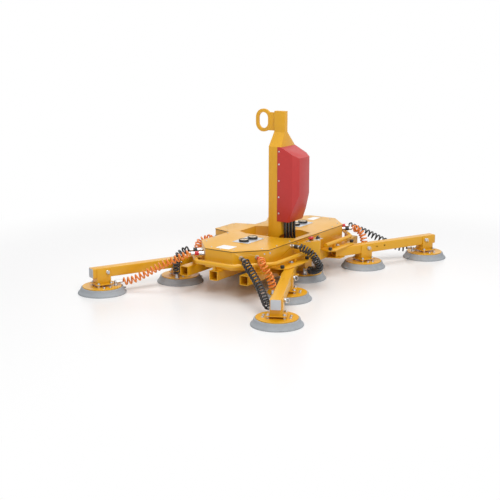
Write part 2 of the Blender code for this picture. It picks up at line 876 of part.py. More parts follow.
def mast_shell(name, wall, bottom):
    """The mast's outer form, or its hollow if a wall is given, as a loft of four sections."""
    box_low = (-MAST_HALF_X + wall, MAST_REAR_Y - MAST_DEPTH + wall)
    box_high = (MAST_HALF_X - wall, MAST_REAR_Y - wall)
    neck_low = (-NECK_HALF_X + wall, NECK_REAR_Y - NECK_DEPTH + wall)
    neck_high = (NECK_HALF_X - wall, NECK_REAR_Y - wall)
    sections = [
        (box_low, box_high, bottom),
        (box_low, box_high, MAST_TOP_Z),
        (neck_low, neck_high, NECK_START_Z),
        (neck_low, neck_high, NECK_TOP_Z - wall),
    ]
    shape = bmesh.new()
    rings = []
    for low, high, height in sections:
        corners = [(low[0], low[1]), (high[0], low[1]), (high[0], high[1]), (low[0], high[1])]
        verts = [shape.verts.new((x, y, height)) for x, y in corners]
        rings.append([shape.edges.new((verts[i], verts[(i + 1) % 4])) for i in range(4)])
    for lower, upper in zip(rings, rings[1:]):
        bmesh.ops.bridge_loops(shape, edges=lower + upper)
    for ring in (rings[0], rings[-1]):
        bmesh.ops.contextual_create(shape, geom=ring)
    return from_bmesh(name, shape)


def make_eye(mats):
    """A thick plate with a long eye, carried by the neck."""
    steps = 14
    outline = stadium(EYE_HALF_WIDTH, EYE_HALF_HEIGHT, steps)
    plate = side_prism("lifting_eye", outline, -EYE_THICKNESS / 2, EYE_THICKNESS / 2)
    root = box(
        "eye_root",
        (-EYE_THICKNESS / 2 + 0.0005, NECK_REAR_Y + GAP, EYE_Z - EYE_HALF_HEIGHT * 0.86),
        (EYE_THICKNESS / 2 - 0.0005, EYE_Y, EYE_Z + EYE_HALF_HEIGHT * 0.72),
    )
    join(plate, root)
    hole = side_prism(
        "eye_hole",
        stadium(EYE_HOLE_HALF_WIDTH, EYE_HOLE_HALF_HEIGHT, steps),
        -EYE_THICKNESS,
        EYE_THICKNESS,
    )
    cut(plate, hole)
    return finish(plate, mats["yellow"], origin=(0.0, EYE_Y, EYE_Z))


def stadium(half_width, half_height, steps):
    """A long round outline in (Y, Z) about the middle of the eye."""
    points = []
    straight = half_height - half_width
    for i in range(steps + 1):
        angle = math.pi * i / steps
        points.append((EYE_Y + half_width * math.cos(angle), EYE_Z + straight + half_width * math.sin(angle)))
    for i in range(steps + 1):
        angle = math.pi + math.pi * i / steps
        points.append((EYE_Y + half_width * math.cos(angle), EYE_Z - straight + half_width * math.sin(angle)))
    return points


def make_cover(mats):
    """The folded cover over the tilt drive, open at its back and bottom."""
    outer_x = MAST_HALF_X + GAP + COVER_WALL
    mast_front = MAST_REAR_Y - MAST_DEPTH
    rear = mast_front + COVER_FLANGE
    cover = side_prism("mast_cover", [(rear, COVER_BOTTOM_Z), (rear, COVER_TOP_REAR_Z), *cover_front(0.0)], -outer_x, outer_x)
    bevel_cover(cover, outer_x, 0.0)
    above = COVER_TOP_REAR_Z + 0.02
    below = COVER_BOTTOM_Z - 0.02
    hollow_outline = [
        (rear + 0.01, below),
        (rear + 0.01, above),
        (mast_front - GAP, above),
        *cover_front(COVER_WALL),
        (COVER_BOTTOM_Y + COVER_WALL, below),
    ]
    hollow = side_prism("hollow", hollow_outline, COVER_WALL - outer_x, outer_x - COVER_WALL)
    bevel_cover(hollow, outer_x - COVER_WALL, COVER_WALL)
    cut(cover, hollow)
    return finish(cover, mats["red"], origin=(0.0, TILT_Y, TILT_Z))


def cover_front(wall):
    """The cover's top, front and lower front, seen from the end, from the mast down."""
    mast_front = MAST_REAR_Y - MAST_DEPTH
    rise = (COVER_TOP_REAR_Z - COVER_TOP_FRONT_Z) / (mast_front - COVER_FRONT_Y)
    drop = wall * math.hypot(1.0, rise)
    return [
        (mast_front - (GAP if wall else 0.0), COVER_TOP_REAR_Z - drop),
        (COVER_FRONT_Y + wall, COVER_TOP_FRONT_Z + rise * wall - drop),
        (COVER_FRONT_Y + wall, COVER_KNEE_Z),
        (COVER_BOTTOM_Y + wall, COVER_BOTTOM_Z),
    ]


def bevel_cover(body, half_x, wall):
    """Cuts the upright front corners off the cover or its hollow."""
    front = COVER_FRONT_Y + wall
    slope = COVER_CORNER_Y / COVER_CORNER_X
    spare = 0.001
    for sign in (-1, 1):
        wedge = prism(
            "corner",
            [
                (half_x + spare, front + COVER_CORNER_Y + spare * slope),
                (half_x - COVER_CORNER_X - spare, front - spare * slope),
                (half_x + spare, front - spare * slope),
            ],
            COVER_BOTTOM_Z - 0.10,
            COVER_TOP_REAR_Z + 0.05,
        )
        cut(body, mirrored(wedge, sign, 1))


def make_mast_pin(mats):
    reach = MAST_HALF_X + EAR_CLEARANCE + EAR_THICKNESS + 0.004
    pin = cylinder("mast_pin", PIN_RADIUS, (-reach, TILT_Y, TILT_Z), (reach, TILT_Y, TILT_Z), PIN_SIDES)
    head = cylinder(
        "head",
        PIN_RADIUS + 0.006,
        (reach - 0.004 + GAP, TILT_Y, TILT_Z),
        (reach + 0.002, TILT_Y, TILT_Z),
        12,
    )
    ring = cylinder(
        "ring",
        PIN_RADIUS + 0.004,
        (-reach - 0.001, TILT_Y, TILT_Z),
        (-reach + 0.004 - GAP, TILT_Y, TILT_Z),
        12,
    )
    return finish(join(pin, head, ring), mats["steel"], origin=(0.0, TILT_Y, TILT_Z))


def make_mast_hoses(mats):
    """Four hoses from the clamp bar in the cover down into the well."""
    bar_z = COVER_BOTTOM_Z + CLAMP_BAR_ABOVE
    mast_front = MAST_REAR_Y - MAST_DEPTH
    bar = box(
        "mast_hoses",
        (-MAST_HALF_X + 0.0005, DROP_HOSE_Y * 2 - mast_front, bar_z),
        (MAST_HALF_X - 0.0005, mast_front - GAP, bar_z + CLAMP_BAR_HEIGHT),
    )
    first = -DROP_HOSE_SPACING * (DROP_HOSE_COUNT - 1) / 2
    hoses = []
    for i in range(DROP_HOSE_COUNT):
        x = first + DROP_HOSE_SPACING * i
        start = Vector((x, DROP_HOSE_Y, bar_z + CLAMP_BAR_HEIGHT / 2))
        end = Vector((x * 0.92, DROP_HOSE_Y - 0.012, tray_floor_top() + GAP))
        middle = [Vector((x * 0.97, DROP_HOSE_Y - 0.002, (start.z + end.z) / 2))]
        points = hose_points(start, Vector((0.0, 0.0, -1.0)), middle, end, Vector((0.0, 0.0, 1.0)), 3)
        hoses.append(smooth_tube("drop_hose", points, DROP_HOSE_RADIUS, 2))
    return finish(join(bar, *hoses), mats["black_rubber"])


def make_handle(name, sign, mats):
    """A bent tube round one end, standing on blocks on the tubes and brackets."""
    normal = end_panel_normal()
    side_y = LOBE_SIDE_Y + HANDLE_OFFSET
    end_x = LOBE_END_X + HANDLE_OFFSET
    panel = Vector((LOBE_END_X, LOBE_END_Y, 0.0)) + normal * HANDLE_OFFSET
    along = Vector((-normal.y, normal.x, 0.0))
    at_side = panel + along * ((side_y - panel.y) / along.y)
    at_end = panel + along * ((end_x - panel.x) / along.x)
    corners = [
        Vector((HANDLE_END_X, side_y, HANDLE_Z)),
        Vector((at_side.x, side_y, HANDLE_Z)),
        Vector((end_x, at_end.y, HANDLE_Z)),
        Vector((end_x, -at_end.y, HANDLE_Z)),
        Vector((at_side.x, -side_y, HANDLE_Z)),
        Vector((HANDLE_END_X, -side_y, HANDLE_Z)),
    ]
    handle = smooth_tube(name, bent_points(corners, HANDLE_BEND, 3), HANDLE_RADIUS, 2)
    bracket_top = TUBE_MID_Z + ARM_TUBE / 2 + SWIVEL_GAP + BRACKET_PLATE
    middle = at_end.lerp(at_side, (BODY_TUBE_SPACING - at_end.y) / (at_side.y - at_end.y))
    for sign_y in (-1, 1):
        join(
            handle,
            handle_foot(middle.x, sign_y * BODY_TUBE_SPACING, tube_top()),
            handle_foot(ARM_PIVOT_X - 0.045, sign_y * side_y, bracket_top),
        )
    join(handle, handle_foot(end_x - 0.008, 0.0, tube_top()))
    if sign < 0:
        mirrored(handle, -1, 1)
    return finish(handle, mats["yellow"])


def handle_foot(x, y, seat_z):
    half = 0.009
    return box("foot", (x - half, y - half, seat_z + GAP), (x + half, y + half, HANDLE_Z))


def arm_empty(name, sign_x, sign_y):
    """An empty on an arm's pivot, with +X along the arm."""
    angle = math.atan2(sign_y * math.sin(ARM_ANGLE), sign_x * math.cos(ARM_ANGLE))
    place = (sign_x * ARM_PIVOT_X, sign_y * ARM_PIVOT_Y, 0.0)
    return rest_empty(name + "_pivot", place, angle)


def make_arm(name, parent, hose_side, mats):
    """A square arm tube with a plugged end, a pivot bush and holes for the lock pins."""
    half = ARM_TUBE / 2
    inner = half - ARM_WALL
    tube = box(name, (-ARM_ROOT, -half, TUBE_MID_Z - half), (ARM_END, half, TUBE_MID_Z + half))
    hollow = box(
        "hollow",
        (-ARM_ROOT - 0.01, -inner, TUBE_MID_Z - inner),
        (ARM_END - ARM_CAP, inner, TUBE_MID_Z + inner),
    )
    cut(tube, hollow)
    bush_radius = PIVOT_PIN_RADIUS + PIVOT_BUSH_WALL
    bush_bottom = (0.0, 0.0, TUBE_MID_Z - inner - WELD)
    bush_top = (0.0, 0.0, TUBE_MID_Z + inner + WELD)
    join(tube, cylinder("bush", bush_radius, bush_bottom, bush_top, PIN_SIDES))
    bore = turning_bore(PIVOT_PIN_RADIUS, GAP, PIN_SIDES)
    cutters = [cylinder("pivot_hole", bore, (0.0, 0.0, 0.0), (0.0, 0.0, 0.3), PIN_SIDES)]
    pin_holes = [(along, 8) for along in (OUTER_CUP + OUTER_PIN_SHIFT, INNER_CUP + INNER_PIN_SHIFT)]
    spare_holes = [(along, 6) for along in SPARE_SIDE_HOLES]
    for along, sides in pin_holes + spare_holes:
        start = (along, -half - 0.01, LOCK_PIN_Z)
        end = (along, half + 0.01, LOCK_PIN_Z)
        cutters.append(cylinder("side_hole", LOCK_PIN_RADIUS + GAP, start, end, sides))
    for along in SPARE_TOP_HOLES:
        start = (along, hose_side * 0.010, TUBE_MID_Z)
        end = (along, hose_side * 0.010, TUBE_MID_Z + half + 0.01)
        cutters.append(cylinder("top_hole", LOCK_PIN_RADIUS * 0.8, start, end, 6))
    cut(tube, *cutters)
    return finish(tube, mats["yellow"], parent=parent)


def make_cup(name, place, parent, mats):
    """A rubber cup with a flared skirt and a shallow recess inside its lip."""
    flare = CUP_RADIUS - CUP_TOP_RADIUS
    profile = [
        (0.0, CUP_HEIGHT),
        (CUP_TOP_RADIUS, CUP_HEIGHT),
        (CUP_TOP_RADIUS + flare * 0.30, CUP_HEIGHT * 0.55),
        (CUP_RADIUS, CUP_HEIGHT * 0.13),
        (CUP_RADIUS - 0.001, 0.0),
        (CUP_RADIUS - CUP_LIP, 0.0),
        (CUP_RADIUS - CUP_LIP - 0.004, CUP_RECESS),
        (0.0, CUP_RECESS),
    ]
    cup = turned(name, profile, CUP_STEPS)
    cup.location = place
    return finish_at(cup, place, mats["rubber"], parent)


def finish_at(obj, place, mat, parent):
    """Finishes a piece whose mesh is made about its own origin."""
    finish(obj, mat, parent=parent)
    obj.location = place
    return obj


def make_head(name, place, parent, tube, pin_shift, fitting, mats):
    """A cup's top plate, its raised base on four studs, and the saddle that straddles a tube."""
    bottom = CUP_HEIGHT + GAP
    plate_top = bottom + HEAD_PLATE
    base_bottom = plate_top + HEAD_BASE_RISE
    base_top = base_bottom + HEAD_PLATE
    half = HEAD_BASE / 2
    inner = tube / 2 + SADDLE_GAP
    outer = inner + SADDLE_WALL
    reach = SADDLE_LENGTH / 2
    head = cylinder(name, HEAD_PLATE_RADIUS, (0, 0, bottom), (0, 0, plate_top), CUP_STEPS)
    base = box("base", (-half, -half, base_bottom), (half, half, base_top))
    pieces = [base]
    for x in (-HEAD_STUD_OFFSET, HEAD_STUD_OFFSET):
        for y in (-HEAD_STUD_OFFSET - 0.004, HEAD_STUD_OFFSET + 0.004):
            pieces.append(cylinder("stud", HEAD_STUD_RADIUS, (x, y, plate_top - WELD), (x, y, base_top + 0.005), 6))
    saddle = box("saddle", (-reach, -outer, base_top - WELD), (reach, outer, SADDLE_TOP_Z))
    seat = TUBE_MID_Z - tube / 2 - SADDLE_GAP
    slot = box("slot", (-reach - 0.01, -inner, seat), (reach + 0.01, inner, SADDLE_TOP_Z + 0.01))
    web = reach - SADDLE_WEB
    pocket = box("pocket", (-web, -inner, base_top + WELD), (web, inner, seat + 0.01))
    cutters = [slot, pocket]
    if pin_shift is not None:
        start = (pin_shift, -outer - 0.01, LOCK_PIN_Z)
        end = (pin_shift, outer + 0.01, LOCK_PIN_Z)
        cutters.append(cylinder("pin_hole", LOCK_PIN_RADIUS + GAP, start, end, 8))
    cut(saddle, *cutters)
    pieces.append(saddle)
    pieces.extend(fitting_pieces(fitting, plate_top))
    join(head, *pieces)
    return finish_at(head, place, mats["yellow"], parent)


def fitting_pieces(fitting, plate_top):
    """The hose fitting on a cup's plate: a post, and a barb that ends where the hose starts."""
    foot, end = fitting
    low = Vector((foot.x, foot.y, plate_top - WELD))
    high = Vector((foot.x, foot.y, end.z + FITTING_RADIUS * 0.8))
    post = cylinder("post", FITTING_RADIUS * 1.25, low, high, 6)
    level = Vector((foot.x, foot.y, end.z))
    if (end - level).length < 0.001:
        return [post]
    return [post, cylinder("barb", FITTING_RADIUS, level, end, 6)]


def make_lock_pin(name, place, parent, head_side, mats):
    """A pull-out pin with a round head and a ring, which holds a saddle on its arm."""
    face = ARM_TUBE / 2 + SADDLE_GAP + SADDLE_WALL + GAP
    start = Vector((0.0, -(face + LOCK_PIN_TAIL), 0.0))
    end = Vector((0.0, face + LOCK_PIN_HEAD, 0.0))
    pin = cylinder(name, LOCK_PIN_RADIUS, start, end - Vector((0.0, 0.002, 0.0)), 8)
    head = cylinder("head", LOCK_PIN_HEAD_RADIUS, (0.0, face, 0.0), end, 10)
    bpy.ops.mesh.primitive_torus_add(
        major_radius=LOCK_RING_RADIUS,
        minor_radius=LOCK_RING_WIRE,
        major_segments=8,
        minor_segments=3,
        location=(0.0, end.y + LOCK_RING_RADIUS * 0.35, -0.002),
        rotation=(0.0, math.radians(90), 0.0),
    )
    ring = bpy.context.active_object
    join(pin, head, ring)
    if head_side < 0:
        pin.data.transform(Matrix.Rotation(math.pi, 4, "Z"))
    return finish_at(pin, place, mats["steel"], parent)


def make_hose(name, route, mat):
    """A curly hose as one plain tube of its outer diameter."""
    tube = smooth_tube(name, hose_points(*route, HOSE_POINTS), HOSE_COIL_RADIUS, 2)
    return finish(tube, mat)


def outer_fitting():
    """Foot and end of the fitting on an outer cup's plate, with +Y towards the hoses."""
    return Vector((-0.072, 0.040, 0.0)), Vector((-0.112, 0.056, 0.067))


def inner_fitting():
    return Vector((0.064, 0.078, 0.0)), Vector((0.064, 0.078, 0.064))


def arm_to_world(along, sideways, height, sign_x, sign_y):
    """A point given along an arm, sideways towards its hoses, and up."""
    x = ARM_PIVOT_X + along * math.cos(ARM_ANGLE) + sideways * math.sin(ARM_ANGLE)
    y = ARM_PIVOT_Y + along * math.sin(ARM_ANGLE) - sideways * math.cos(ARM_ANGLE)
    return Vector((sign_x * x, sign_y * y, height))


def quarter(point, sign_x, sign_y):
    """Moves a point or direction of the +X +Y quarter into another quarter."""
    return Vector((sign_x * point.x, sign_y * point.y, point.z))


def outer_route(sign_x, sign_y):
    """Seats, directions and middle points of the hose to an arm's outer cup."""
    start_way = quarter(end_panel_normal(), sign_x, sign_y)
    start = quarter(coupler_end(COUPLER_ALONG[0]), sign_x, sign_y)
    foot, end = outer_fitting()
    barb_end = arm_to_world(OUTER_CUP + end.x, end.y, end.z, sign_x, sign_y)
    barb_foot = arm_to_world(OUTER_CUP + foot.x, foot.y, end.z, sign_x, sign_y)
    end_way = (barb_end - barb_foot).normalized()
    points = [
        (0.325, 0.224, 0.216),
        (0.400, 0.180, 0.180),
        (0.480, 0.133, 0.134),
        (0.555, 0.098, 0.093),
        (0.600, 0.080, 0.074),
    ]
    middle = [arm_to_world(*point, sign_x, sign_y) for point in points]
    return start + start_way * GAP, start_way, middle, barb_end + end_way * GAP, end_way


def inner_route(sign_x, sign_y):
    """Seats, directions and middle points of the hose to an arm's inner cup."""
    start_way = quarter(end_panel_normal(), sign_x, sign_y)
    start = quarter(coupler_end(COUPLER_ALONG[1]), sign_x, sign_y)
    foot, end = inner_fitting()
    end_way = Vector((0.0, 0.0, 1.0))
    post_top = arm_to_world(INNER_CUP + end.x, end.y, end.z + FITTING_RADIUS * 0.8, sign_x, sign_y)
    points = [
        (0.280, 0.146, 0.226),
        (0.300, 0.118, 0.190),
        (0.297, 0.094, 0.140),
    ]
    middle = [arm_to_world(*point, sign_x, sign_y) for point in points]
    return start + start_way * GAP, start_way, middle, post_top + end_way * GAP, end_way


def centre_fitting(sign_y):
    """Foot and end of the fitting on a middle cup's plate, about the cup's own middle."""
    return Vector((-0.072, sign_y * 0.050, 0.0)), Vector((-0.072, sign_y * 0.075, 0.077))


def centre_route(sign_y):
    """Seats, directions and middle points of the hose to a middle cup."""
    foot, end = centre_fitting(sign_y)
    end_way = Vector((0.0, sign_y, 0.0))
    barb_end = Vector((end.x, sign_y * BODY_TUBE_SPACING + end.y, end.z)) + end_way * GAP
    if sign_y < 0:
        coupler_foot, coupler_tip = front_coupler()
        points = [
            (-0.200, -0.356, 0.238),
            (-0.186, -0.392, 0.210),
            (-0.164, -0.410, 0.168),
            (-0.130, -0.412, 0.122),
            (-0.092, -0.362, 0.088),
        ]
    else:
        coupler_foot, coupler_tip = rear_coupler()
        points = [
            (-0.252, 0.366, 0.238),
            (-0.275, 0.400, 0.220),
            (-0.262, 0.430, 0.176),
            (-0.220, 0.432, 0.132),
            (-0.150, 0.402, 0.100),
            (-0.092, 0.352, 0.084),
        ]
    start_way = (coupler_tip - coupler_foot).normalized()
    middle = [Vector(point) for point in points]
    return coupler_tip + start_way * GAP, start_way, middle, barb_end, end_way


def make_arm_assembly(side_name, sign_x, sign_y, mats):
    """One arm with its two cups, their heads and lock pins, and the two hoses to them."""
    parent = arm_empty("arm_" + side_name, sign_x, sign_y)
    hose_side = -sign_x * sign_y
    make_arm("arm_" + side_name, parent, hose_side, mats)
    cups = (
        ("inner", INNER_CUP, INNER_PIN_SHIFT, inner_fitting(), -hose_side),
        ("outer", OUTER_CUP, OUTER_PIN_SHIFT, outer_fitting(), -sign_x),
    )
    for cup_name, along, pin_shift, fitting, head_side in cups:
        place = Vector((along, 0.0, 0.0))
        label = side_name + "_" + cup_name
        foot, end = fitting
        turned_fitting = (
            Vector((foot.x, foot.y * hose_side, 0.0)),
            Vector((end.x, end.y * hose_side, end.z)),
        )
        make_cup("cup_" + label, place, parent, mats)
        make_head("head_" + label, place, parent, ARM_TUBE, pin_shift, turned_fitting, mats)
        pin_place = Vector((along + pin_shift, 0.0, LOCK_PIN_Z))
        make_lock_pin("pin_" + label, pin_place, parent, head_side, mats)
    black, orange = mats["black_hose"], mats["orange_hose"]
    inner_color, outer_color = (orange, black) if sign_y < 0 else (black, orange)
    make_hose("hose_" + side_name + "_inner", inner_route(sign_x, sign_y), inner_color)
    make_hose("hose_" + side_name + "_outer", outer_route(sign_x, sign_y), outer_color)


def make_centre_cup(side_name, sign_y, mats):
    place = Vector((0.0, sign_y * BODY_TUBE_SPACING, 0.0))
    make_cup("cup_" + side_name + "_centre", place, None, mats)
    make_head("head_" + side_name + "_centre", place, None, BODY_TUBE, None, centre_fitting(sign_y), mats)
    color = mats["black_hose"] if sign_y < 0 else mats["orange_hose"]
    make_hose("hose_" + side_name + "_centre", centre_route(sign_y), color)


def main():
    clear_scene()
    parts = bpy.data.collections.new("battery_vacuum_lifter")
    bpy.context.scene.collection.children.link(parts)
    mats = {
        "yellow": make_material("yellow_paint", (0.83, 0.47, 0.03), 0.30, 0.0),
        "red": make_material("red_paint", (0.50, 0.04, 0.04), 0.35, 0.0),
        "rubber": make_material("grey_rubber", (0.36, 0.38, 0.39), 0.70, 0.0),
        "steel": make_material("bright_steel", (0.70, 0.71, 0.72), 0.30, 1.0),
        "aluminium": make_material("cast_aluminium", (0.55, 0.56, 0.57), 0.45, 1.0),
        "plastic": make_material("black_plastic", (0.02, 0.02, 0.02), 0.50, 0.0),
        "button": make_material("red_plastic", (0.60, 0.02, 0.02), 0.30, 0.0),
        "black_rubber": make_material("black_rubber", (0.02, 0.02, 0.02), 0.60, 0.0),
        "black_hose": make_material("black_hose", (0.02, 0.02, 0.02), 0.35, 0.0),
        "orange_hose": make_material("orange_hose", (0.80, 0.17, 0.03), 0.35, 0.0),
    }
    make_centre_tube(mats)
    make_side_tube("side_tube_front", -1, mats)
    make_side_tube("side_tube_rear", 1, mats)
    make_tray(mats)
    make_lid(mats)
    make_control_panel(mats)
    make_stop_button(mats)
    make_gauge_panel("gauge_panel_left", -1, mats)
    make_gauge_panel("gauge_panel_right", 1, mats)
    make_battery(mats)
    make_pump(mats)
    make_mast(mats)
    make_eye(mats)
    make_cover(mats)
    make_mast_pin(mats)
    make_mast_hoses(mats)
    make_handle("handle_left", -1, mats)
    make_handle("handle_right", 1, mats)
    for side_name, sign_x, sign_y in (
        ("front_left", -1, -1),
        ("front_right", 1, -1),
        ("rear_left", -1, 1),
        ("rear_right", 1, 1),
    ):
        make_arm_assembly(side_name, sign_x, sign_y, mats)
    make_centre_cup("front", -1, mats)
    make_centre_cup("rear", 1, mats)


main()
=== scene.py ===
"""Looks of the battery vacuum lifter: paint, rubber, steel, curly hoses and small fittings.

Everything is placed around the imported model, in metres, in the same frame as the solids.
"""

import math

import bmesh
import bpy
from mathutils import Matrix, Vector


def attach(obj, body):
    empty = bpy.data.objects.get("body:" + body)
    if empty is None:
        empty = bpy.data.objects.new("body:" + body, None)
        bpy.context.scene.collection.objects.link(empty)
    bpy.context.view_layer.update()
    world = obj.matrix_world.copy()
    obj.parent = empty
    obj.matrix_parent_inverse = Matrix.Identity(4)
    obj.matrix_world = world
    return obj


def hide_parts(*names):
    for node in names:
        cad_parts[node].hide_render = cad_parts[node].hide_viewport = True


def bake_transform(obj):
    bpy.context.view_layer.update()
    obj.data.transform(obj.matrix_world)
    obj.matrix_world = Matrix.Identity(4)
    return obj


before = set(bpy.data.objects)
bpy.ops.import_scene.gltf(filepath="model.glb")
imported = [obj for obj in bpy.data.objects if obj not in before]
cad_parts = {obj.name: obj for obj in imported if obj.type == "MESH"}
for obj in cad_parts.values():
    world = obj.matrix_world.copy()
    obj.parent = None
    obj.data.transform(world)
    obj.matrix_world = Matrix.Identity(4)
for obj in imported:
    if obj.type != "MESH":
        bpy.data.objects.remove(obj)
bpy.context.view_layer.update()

ZERO = Vector((0.0, 0.0, 0.0))
UP = Vector((0.0, 0.0, 1.0))
QUARTERS = {
    "front_left": (-1, -1),
    "front_right": (1, -1),
    "rear_left": (-1, 1),
    "rear_right": (1, 1),
}

# Sizes of the solids that the pieces here sit on
TUBE_MID_Z = 0.130
BODY_TUBE = 0.060
BODY_TUBE_WALL = 0.004
BODY_TUBE_LENGTH = 1.400
BODY_TUBE_SPACING = 0.220
ARM_TUBE = 0.060
ARM_ANGLE = math.radians(25.14)
ARM_PIVOT = Vector((0.300, 0.306, 0.0))
ARM_END = 0.833
INNER_CUP = 0.221
OUTER_CUP = 0.763
INNER_PIN_SHIFT = 0.012
OUTER_PIN_SHIFT = -0.023
LOCK_PIN_Z = 0.134
LOBE_END = Vector((0.640, 0.100, 0.0))
LOBE_SHOULDER = Vector((0.470, 0.250, 0.0))
BAY_ROOT = Vector((0.155, 0.250, 0.0))
BAY_END = Vector((0.110, 0.395, 0.0))
TUBE_TOP = TUBE_MID_Z + BODY_TUBE / 2
TRAY_TOP = 0.2757
LID_TOP = 0.2800
BAY_INNER_Z = 0.2565
COUPLER_Z = 0.235
COUPLER_ALONG = (0.053, 0.153)
COUPLER_LENGTH = 0.085
FRONT_COUPLER_LENGTH = 0.060
NOSE_LEFT = Vector((-0.078, -0.384, 0.0))
NOSE_RIGHT = Vector((-0.050, -0.373, 0.0))
GAP = 0.0003
SWIVEL_GAP = 0.0006

# Curly hoses
COIL_RADIUS = 0.0205
HOSE_RADIUS = 0.0053
HOSE_LEAD = 0.010
POINTS_PER_TURN = 18


# Shapes: each function returns a bmesh, which finished() makes into a piece

def joined(*shapes):
    """Puts several shapes into the first one."""
    first, *others = shapes
    for other in others:
        mesh = bpy.data.meshes.new("joining")
        other.to_mesh(mesh)
        other.free()
        first.from_mesh(mesh)
        bpy.data.meshes.remove(mesh)
    return first


def placed(shape, matrix):
    shape.transform(matrix)
    if matrix.determinant() < 0:
        bmesh.ops.reverse_faces(shape, faces=shape.faces)
    return shape


def outward(shape):
    bmesh.ops.remove_doubles(shape, verts=shape.verts, dist=0.000005)
    bmesh.ops.recalc_face_normals(shape, faces=shape.faces)
    return shape


def softened(shape, width, segments=2, angle=30, shortest=0.0):
    """Rounds every edge that is sharper than the angle and at least as long as the shortest."""
    limit = math.radians(angle)
    edges = [
        e for e in shape.edges
        if len(e.link_faces) == 2 and e.calc_face_angle() > limit and e.calc_length() >= shortest
    ]
    bmesh.ops.bevel(
        shape,
        geom=edges,
        offset=width,
        segments=segments,
        profile=0.5,
        affect="EDGES",
        material=-1,
        clamp_overlap=True,
    )
    return shape


def box(low, high, edge=0.0):
    low, high = Vector(low), Vector(high)
    shape = bmesh.new()
    bmesh.ops.create_cube(shape, size=1.0)
    bmesh.ops.scale(shape, vec=high - low, verts=shape.verts)
    bmesh.ops.translate(shape, vec=(low + high) / 2, verts=shape.verts)
    return softened(shape, edge) if edge else shape


def along(start, end):
    """The matrix that takes +Z from the origin to the way from start to end."""
    way = Vector(end) - Vector(start)
    return Matrix.Translation(start) @ way.to_track_quat("Z", "Y").to_matrix().to_4x4()


def turned(profile, steps=32):
    """A profile of (radius, height) turned about Z. A radius of 0 closes it on the axis."""
    shape = bmesh.new()
    line = [shape.verts.new((radius, 0.0, height)) for radius, height in profile]
    edges = [shape.edges.new(pair) for pair in zip(line, line[1:])]
    bmesh.ops.spin(
        shape,
        geom=line + edges,
        cent=ZERO,
        axis=UP,
        dvec=ZERO,
        angle=math.tau,
        steps=steps,
        use_merge=True,
        use_duplicate=False,
    )
    return outward(shape)


def bar(start, end, radius, steps=24, edge=0.0):
    """A round bar with softened ends."""
    length = (Vector(end) - Vector(start)).length
    edge = min(edge, radius * 0.5, length * 0.4)
    if edge:
        profile = [(0.0, 0.0), (radius - edge, 0.0), (radius, edge), (radius, length - edge),
                   (radius - edge, length), (0.0, length)]
    else:
        profile = [(0.0, 0.0), (radius, 0.0), (radius, length), (0.0, length)]
    return placed(turned(profile, steps), along(start, end))


def raised(shape, faces, height):
    """Draws flat faces up by a height, into a closed form."""
    drawn = bmesh.ops.extrude_face_region(shape, geom=faces)
    verts = [v for v in drawn["geom"] if isinstance(v, bmesh.types.BMVert)]
    bmesh.ops.translate(shape, vec=(0.0, 0.0, height), verts=verts)
    return outward(shape)


def closed_line(shape, outline, height):
    """The edges of a closed outline at a height."""
    verts = [shape.verts.new((x, y, height)) for x, y in outline]
    return [shape.edges.new((verts[i - 1], verts[i])) for i in range(len(verts))]


def band(inner, outer, low, high):
    """A closed flat strip between two outlines of the same number of corners."""
    shape = bmesh.new()
    edges = closed_line(shape, inner, low) + closed_line(shape, outer, low)
    strip = bmesh.ops.bridge_loops(shape, edges=edges)["faces"]
    return raised(shape, strip, high - low)


def plate(outline, low, high, edge=0.0):
    """A flat outline in plan, from one height to another."""
    shape = bmesh.new()
    face = shape.faces.new([shape.verts.new((x, y, low)) for x, y in outline])
    raised(shape, [face], high - low)
    return softened(shape, edge) if edge else shape


def round_rectangle(half_x, half_y, radius, steps=5):
    """An anticlockwise outline with round corners, about the origin."""
    points = []
    for turn, (sign_x, sign_y) in enumerate(((1, 1), (-1, 1), (-1, -1), (1, -1))):
        for step in range(steps + 1):
            angle = math.pi / 2 * (turn + step / steps)
            x = sign_x * (half_x - radius) + radius * math.cos(angle)
            y = sign_y * (half_y - radius) + radius * math.sin(angle)
            points.append((x, y))
    return points


def square_tube(size, wall, length):
    """A rolled square tube with round corners, open at both ends, along +Z."""
    outside = round_rectangle(size / 2, size / 2, wall * 1.6)
    inside = round_rectangle(size / 2 - wall, size / 2 - wall, wall * 0.8)
    return band(inside, outside, 0.0, length)


def hex_bolt(place, size=0.005, head=0.004, washer=True, way=UP):
    """A hexagon head on a washer, which stands on place."""
    shape = bmesh.new()
    bmesh.ops.create_cone(
        shape, cap_ends=True, segments=6, radius1=size * 1.05, radius2=size * 1.05, depth=head
    )
    bmesh.ops.translate(shape, vec=(0.0, 0.0, head / 2 + 0.001), verts=shape.verts)
    softened(shape, size * 0.09, 1)
    if washer:
        joined(shape, bar(ZERO, (0.0, 0.0, 0.0012), size * 1.5, 20, 0.0003))
    return placed(shape, along(Vector(place), Vector(place) + way))


def ring(radius, wire, steps=28, sides=8):
    """A closed wire ring about Z."""
    shape = bmesh.new()
    circle = bmesh.ops.create_circle(shape, segments=sides, radius=wire)
    turn = Matrix.Translation((radius, 0.0, 0.0)) @ Matrix.Rotation(math.pi / 2, 4, "X")
    bmesh.ops.transform(shape, matrix=turn, verts=circle["verts"])
    bmesh.ops.spin(
        shape, geom=shape.verts[:] + shape.edges[:], cent=ZERO, axis=UP, dvec=ZERO,
        angle=math.tau, steps=steps, use_merge=True, use_duplicate=False,
    )
    return outward(shape)


